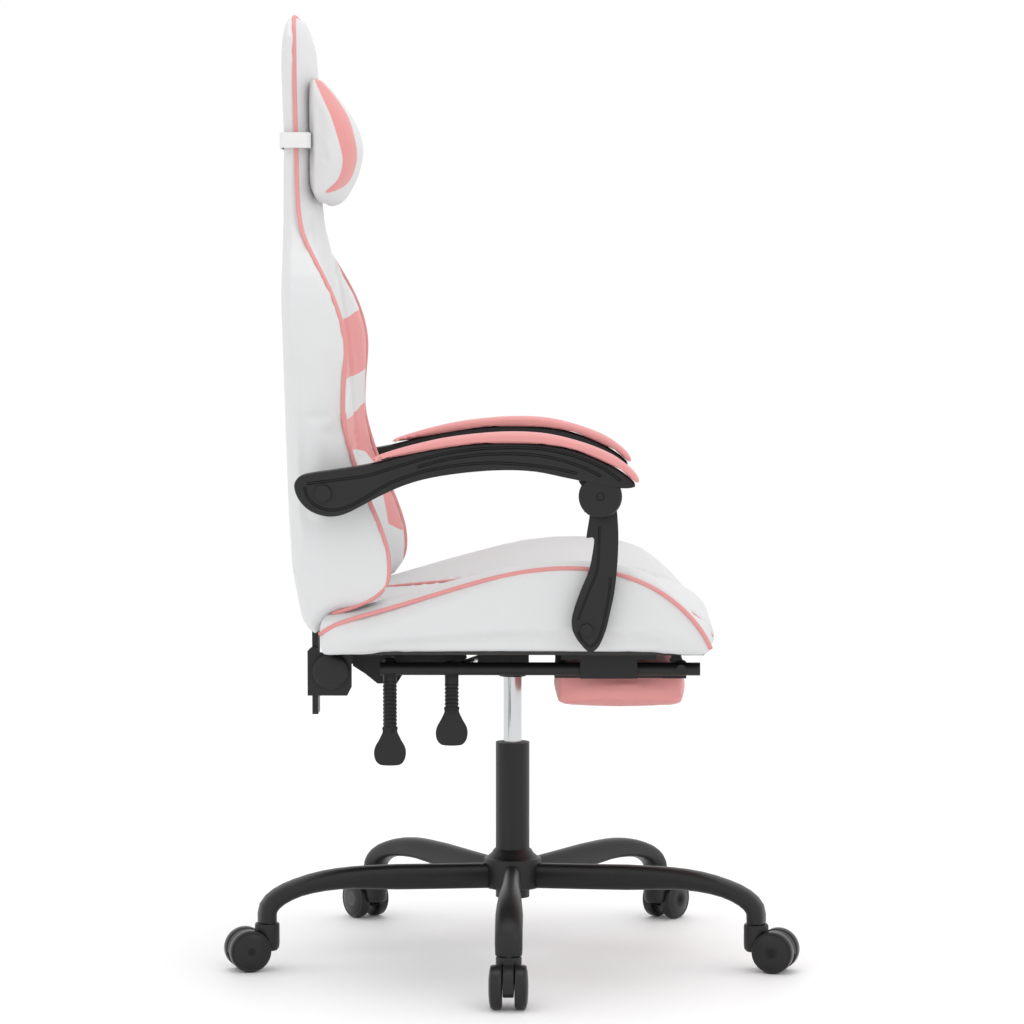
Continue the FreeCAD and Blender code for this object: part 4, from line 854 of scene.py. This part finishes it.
def arm_rings():
    """Stations along an arm: reach, height, half the tube's height and width, and its slope."""
    stations = [(0.022, 0.115, 0.018, 0.012, 0), (0.10, 0.1175, 0.018, 0.012, 0),
                (0.17, 0.120, 0.018, 0.0125, 0), (0.215, 0.1215, 0.0165, 0.014, 0)]
    for degrees in range(0, 91, 10):
        lean = math.radians(degrees)
        share = min(1, degrees / 40)
        slope = math.atan2(BEND_DROP * math.sin(lean), BEND_REACH * math.cos(lean))
        reach = BEND_START + BEND_REACH * math.sin(lean)
        height = BEND_TOP - BEND_DROP * (1 - math.cos(lean))
        stations.append((reach, height, 0.0155 - 0.003 * share, 0.0150 + 0.0035 * share, slope))
    stations.append((CASTER_RADIUS, 0.0662, 0.0125, 0.0180, math.pi / 2))
    points = 24
    rings = []
    for reach, height, tall, wide, slope in stations:
        ring = []
        for step in range(points):
            angle = 2 * math.pi * step / points
            side = math.copysign(abs(math.cos(angle)) ** 0.75, math.cos(angle)) * wide
            lift = math.copysign(abs(math.sin(angle)) ** 0.75, math.sin(angle)) * tall
            ring.append(Vector((reach + lift * math.sin(slope), side, height + lift * math.cos(slope))))
        rings.append(ring)
    return rings


arm = loft("arm", arm_rings(), black_steel)
smooth(arm, 60)
SPOKE_TURNS = [Matrix.Rotation(math.radians(180 + 72 * spoke), 4, "Z") for spoke in range(5)]
arms = [arm]
for spoke in range(1, 5):
    copy = bpy.data.objects.new(f"arm_{spoke}", arm.data.copy())
    bpy.context.scene.collection.objects.link(copy)
    arms.append(copy)
for piece, turn in zip(arms, SPOKE_TURNS):
    piece.data.transform(turn)
HUB_PROFILE = [(0.0245, 0.098), (0.039, 0.098), (0.041, 0.100), (0.041, 0.137), (0.0400, 0.1395),
               (0.0365, 0.1410), (0.0300, 0.1465), (0.0265, 0.1520), (0.0245, 0.1530), (0.0245, 0.098)]
hub = lathe("hub", HUB_PROFILE, black_steel)
star = join("star_base_weldment", hub, *arms)
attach(star, "base")
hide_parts("star_base")

# Casters: twin nylon wheels either side of a moulded housing. Its neck takes the stem, and a
# thin web between the wheels holds the axle behind the stem.
WHEEL_RADIUS, TRAIL = 0.029, 0.028
WHEEL_PROFILE = [(0.0042, 0.0082), (0.026, 0.0082), (0.0282, 0.0092), (0.029, 0.0110), (0.029, 0.0210),
                 (0.0282, 0.0232), (0.0262, 0.0244), (0.0252, 0.0238), (0.0240, 0.0240),
                 (0.0222, 0.0252), (0.012, 0.0262), (0, 0.0264), (0, 0.0235), (0.0042, 0.0228),
                 (0.0042, 0.0082)]
wheel = lathe("wheel", WHEEL_PROFILE, black_nylon, 64)
wheel.data.transform(Matrix.Rotation(-math.pi / 2, 4, "X"))
other = bpy.data.objects.new("wheel_b", wheel.data.copy())
bpy.context.scene.collection.objects.link(other)
other.data.transform(Matrix.Rotation(math.pi, 4, "Z"))
pair = join("wheel_pair", wheel, other)
axle_reach = CASTER_RADIUS + TRAIL
pair.data.transform(Matrix.Translation((axle_reach, 0, WHEEL_RADIUS)))

NECK_PROFILE = [(0.0058, 0.0265), (0.0135, 0.0265), (0.0165, 0.0300), (0.0172, 0.0360),
                (0.0172, 0.0625), (0.0160, 0.0645), (0.0130, 0.0648), (0.0125, 0.0630),
                (0.0058, 0.0630), (0.0058, 0.0265)]
neck = lathe("neck", NECK_PROFILE, black_plastic)
neck.data.transform(Matrix.Translation((CASTER_RADIUS, 0, 0)))
HOOD_RADIUS, WEB_HALF = 0.0275, 0.0072
web_outline = []
for step in range(25):
    angle = math.radians(-8 + 196 * step / 24)
    web_outline.append((axle_reach + HOOD_RADIUS * math.cos(angle),
                        WHEEL_RADIUS + HOOD_RADIUS * math.sin(angle)))
web_outline += [(CASTER_RADIUS - 0.004, 0.022), (CASTER_RADIUS + 0.010, 0.018), (axle_reach, 0.0175),
                (CASTER_RADIUS + 0.046, 0.018)]
web = plate("web", web_outline, -WEB_HALF, WEB_HALF, edge=0.0012, segments=2)
web.data.transform(Matrix.Rotation(-math.pi / 2, 4, "Z"))
wells = []
for side in (1, -1):
    bpy.ops.object.select_all(action="DESELECT")
    bpy.ops.mesh.primitive_cylinder_add(vertices=64, radius=0.0300, depth=0.030,
                                        location=(axle_reach, side * 0.0225, WHEEL_RADIUS),
                                        rotation=(math.pi / 2, 0, 0))
    wells.append(bpy.context.object)
for well in wells:
    cut = neck.modifiers.new("well", "BOOLEAN")
    cut.operation = "DIFFERENCE"
    cut.object = well
    apply_modifier(neck, "well")
    bpy.data.objects.remove(well)
smooth(neck, 40)
housing = join("housing", neck, web)
for number, turn in enumerate(SPOKE_TURNS, 1):
    moulding = (housing, f"caster_{number}_moulding", f"caster_{number}", f"caster_housing_{number}",
                "moulded_black")
    wheels = (pair, f"caster_{number}_wheels", f"wheels_{number}", f"caster_wheels_{number}", "wheel_black")
    for source, name, body, node, slot in (moulding, wheels):
        piece = bpy.data.objects.new(name, source.data.copy())
        bpy.context.scene.collection.objects.link(piece)
        piece.data.transform(turn)
        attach(piece, body)
        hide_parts(node)
bpy.data.objects.remove(housing)
bpy.data.objects.remove(pair)

# Lever grips: ribbed sleeves pushed onto the lever rods, which spread into flat spoon-shaped
# paddles for the fingers.


def lever_grip(name, node, body, ribs_top):
    low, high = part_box(node)
    x, y = (low.x + high.x) / 2, (low.y + high.y) / 2
    paddle_top = low.z + 0.050
    side = [(0.0095, 0.004), (0.0100, -0.003), (0.0150, -0.014), (0.0205, -0.024), (0.0220, -0.033),
            (0.0200, -0.042), (0.0145, -0.048), (0.0060, -0.0495)]
    outline = [(y - reach, paddle_top + lift, 0) for reach, lift in side]
    outline += [(y + reach, paddle_top + lift, 0) for reach, lift in reversed(side)]
    outline = curve_through(outline, 4, closed=True)
    paddle = plate(name + "_paddle", outline, x - 0.0055, x + 0.0055, edge=0.0045)
    profile = [(0, paddle_top - 0.008), (0.0060, paddle_top - 0.008), (0.0085, paddle_top)]
    rib_spacing = 0.0052
    height = paddle_top + 0.001
    while height < ribs_top:
        profile += [(0.0097, height + 0.0006), (0.0097, height + 0.0030), (0.0088, height + 0.0036),
                    (0.0088, height + 0.0046)]
        height += rib_spacing
    profile += [(0.0095, ribs_top + 0.003), (0.0095, high.z - 0.006), (0.0080, high.z - 0.002),
                (0, high.z - 0.0005)]
    sleeve = lathe(name + "_sleeve", profile, black_plastic, 32)
    sleeve.data.transform(Matrix.Translation((x, y, 0)))
    grip = join(name, paddle, sleeve)
    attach(grip, body)
    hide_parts(node)


lever_grip("recline_lever_handle", "recline_lever_grip", "recline_lever", ribs_top=0.404)
lever_grip("height_lever_handle", "height_lever_grip", "height_lever", ribs_top=0.400)

# Hinge covers: shallow domed cups of black plastic, pressed over the outside of the hinge
# plates to hide the pins.
low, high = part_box("hinge_covers")
CUP_PROFILE = [(0, 0), (0.016, 0.0004), (0.0215, 0.0016), (0.0240, 0.0042), (0.0245, 0.0075),
               (0.0245, 0.0138), (0.0225, 0.0138), (0.0225, 0.0060), (0.0, 0.0040)]
cover = lathe("hinge_cup", CUP_PROFILE, black_plastic)
cover.data.transform(Matrix.Translation((low.x, (low.y + high.y) / 2, (low.z + high.z) / 2))
                     @ Matrix.Rotation(math.pi / 2, 4, "Y"))
cups = join("hinge_cover_cups", cover, mirror_copy(cover, "hinge_cup_left"))
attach(cups, "seat")
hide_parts("hinge_covers")

# Footrest cushion: foam on its board in a pink cover, rounded at every edge. The cover is
# drawn round the board's edges and stapled on top.
low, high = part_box("footrest_cushion")
low.z -= 0.002
high.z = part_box("footrest_board")[1].z + 0.001
middle_y = (low.y + high.y) / 2
rows = []
for share in (-1, -0.985, -0.93, -0.8, -0.5, 0, 0.5, 0.8, 0.93, 0.985, 1):
    x = (low.x + high.x) / 2 + (high.x - low.x) / 2 * share
    tuck = 0.010 * abs(share) ** 12
    bottom = low.z + tuck
    near = [(low.y + 0.001 + tuck / 2, high.z - 0.0005), (low.y + 0.001 + tuck / 2, bottom + 0.012),
            (low.y + 0.004, bottom + 0.004), (low.y + 0.012, bottom + 0.001)]
    far = [(2 * middle_y - y, z) for y, z in reversed(near)]
    rows.append([Vector((x, y, z)) for y, z in near + [(middle_y, bottom)] + far])
foot_pad = loft("footrest_cover", rows, pink_leather)
even_out(foot_pad, voxel=0.004, rounds=3)
stuff(foot_pad, pressure=2.0, cap=0.004, slack=0.0015)
refine(foot_pad)
smooth(foot_pad)
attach(foot_pad, "footrest_pad")
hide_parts("footrest_cushion")

# Metal and wood that keep their machined shape: turned, bent and pressed steel, fasteners and
# the plywood boards. Only their finishes are set here.


def metal(name, tint, roughness, stretch):
    bare = Recipe(name, roughness, metallic=1.0)
    brushed = bare.noise(60, 4, stretch)
    bare.colour(bare.mix(brushed, tuple(c * 0.95 for c in tint), tint))
    bare.roughness(roughness - 0.03 + brushed * 0.06)
    bare.bump(brushed, strength=0.02, distance=0.0002)
    return bare.material


bright_steel = metal("chromed_steel", (0.62, 0.63, 0.64), roughness=0.20, stretch=(1, 1, 30))
zinc = metal("zinc_plate", (0.42, 0.42, 0.41), roughness=0.38, stretch=(6, 6, 6))
ply = Recipe("black_stained_plywood", roughness=0.62)
ring_grain = ply.noise(14, 5, (1, 9, 9))
ply.colour(ply.mix(ring_grain, (0.016, 0.015, 0.014), (0.030, 0.028, 0.026)))
ply.bump(ring_grain, strength=0.2, distance=0.0006)
acetal = plastic("acetal_bushing", roughness=0.5, grain=0.1)
FINISH = {"steel_black": black_steel, "moulded_black": black_plastic, "wheel_black": black_nylon,
          "steel_bright": bright_steel, "fixings": zinc, "bushing_plastic": acetal,
          "plywood": ply.material, "upholstery_white": white_leather,
          "upholstery_pink": pink_leather, "elastic_white": elastic.material}
BLACKENED = ("leg_bolts", "arm_bolts", "hinge_pins", "caster_sleeves", "footrest_screws")
for part in frame["record"]["subparts"]:
    node = frame["nodes"][part["node"]]
    node.data.materials.clear()
    node.data.materials.append(black_steel if part["node"] in BLACKENED else FINISH[part["material_slot"]])
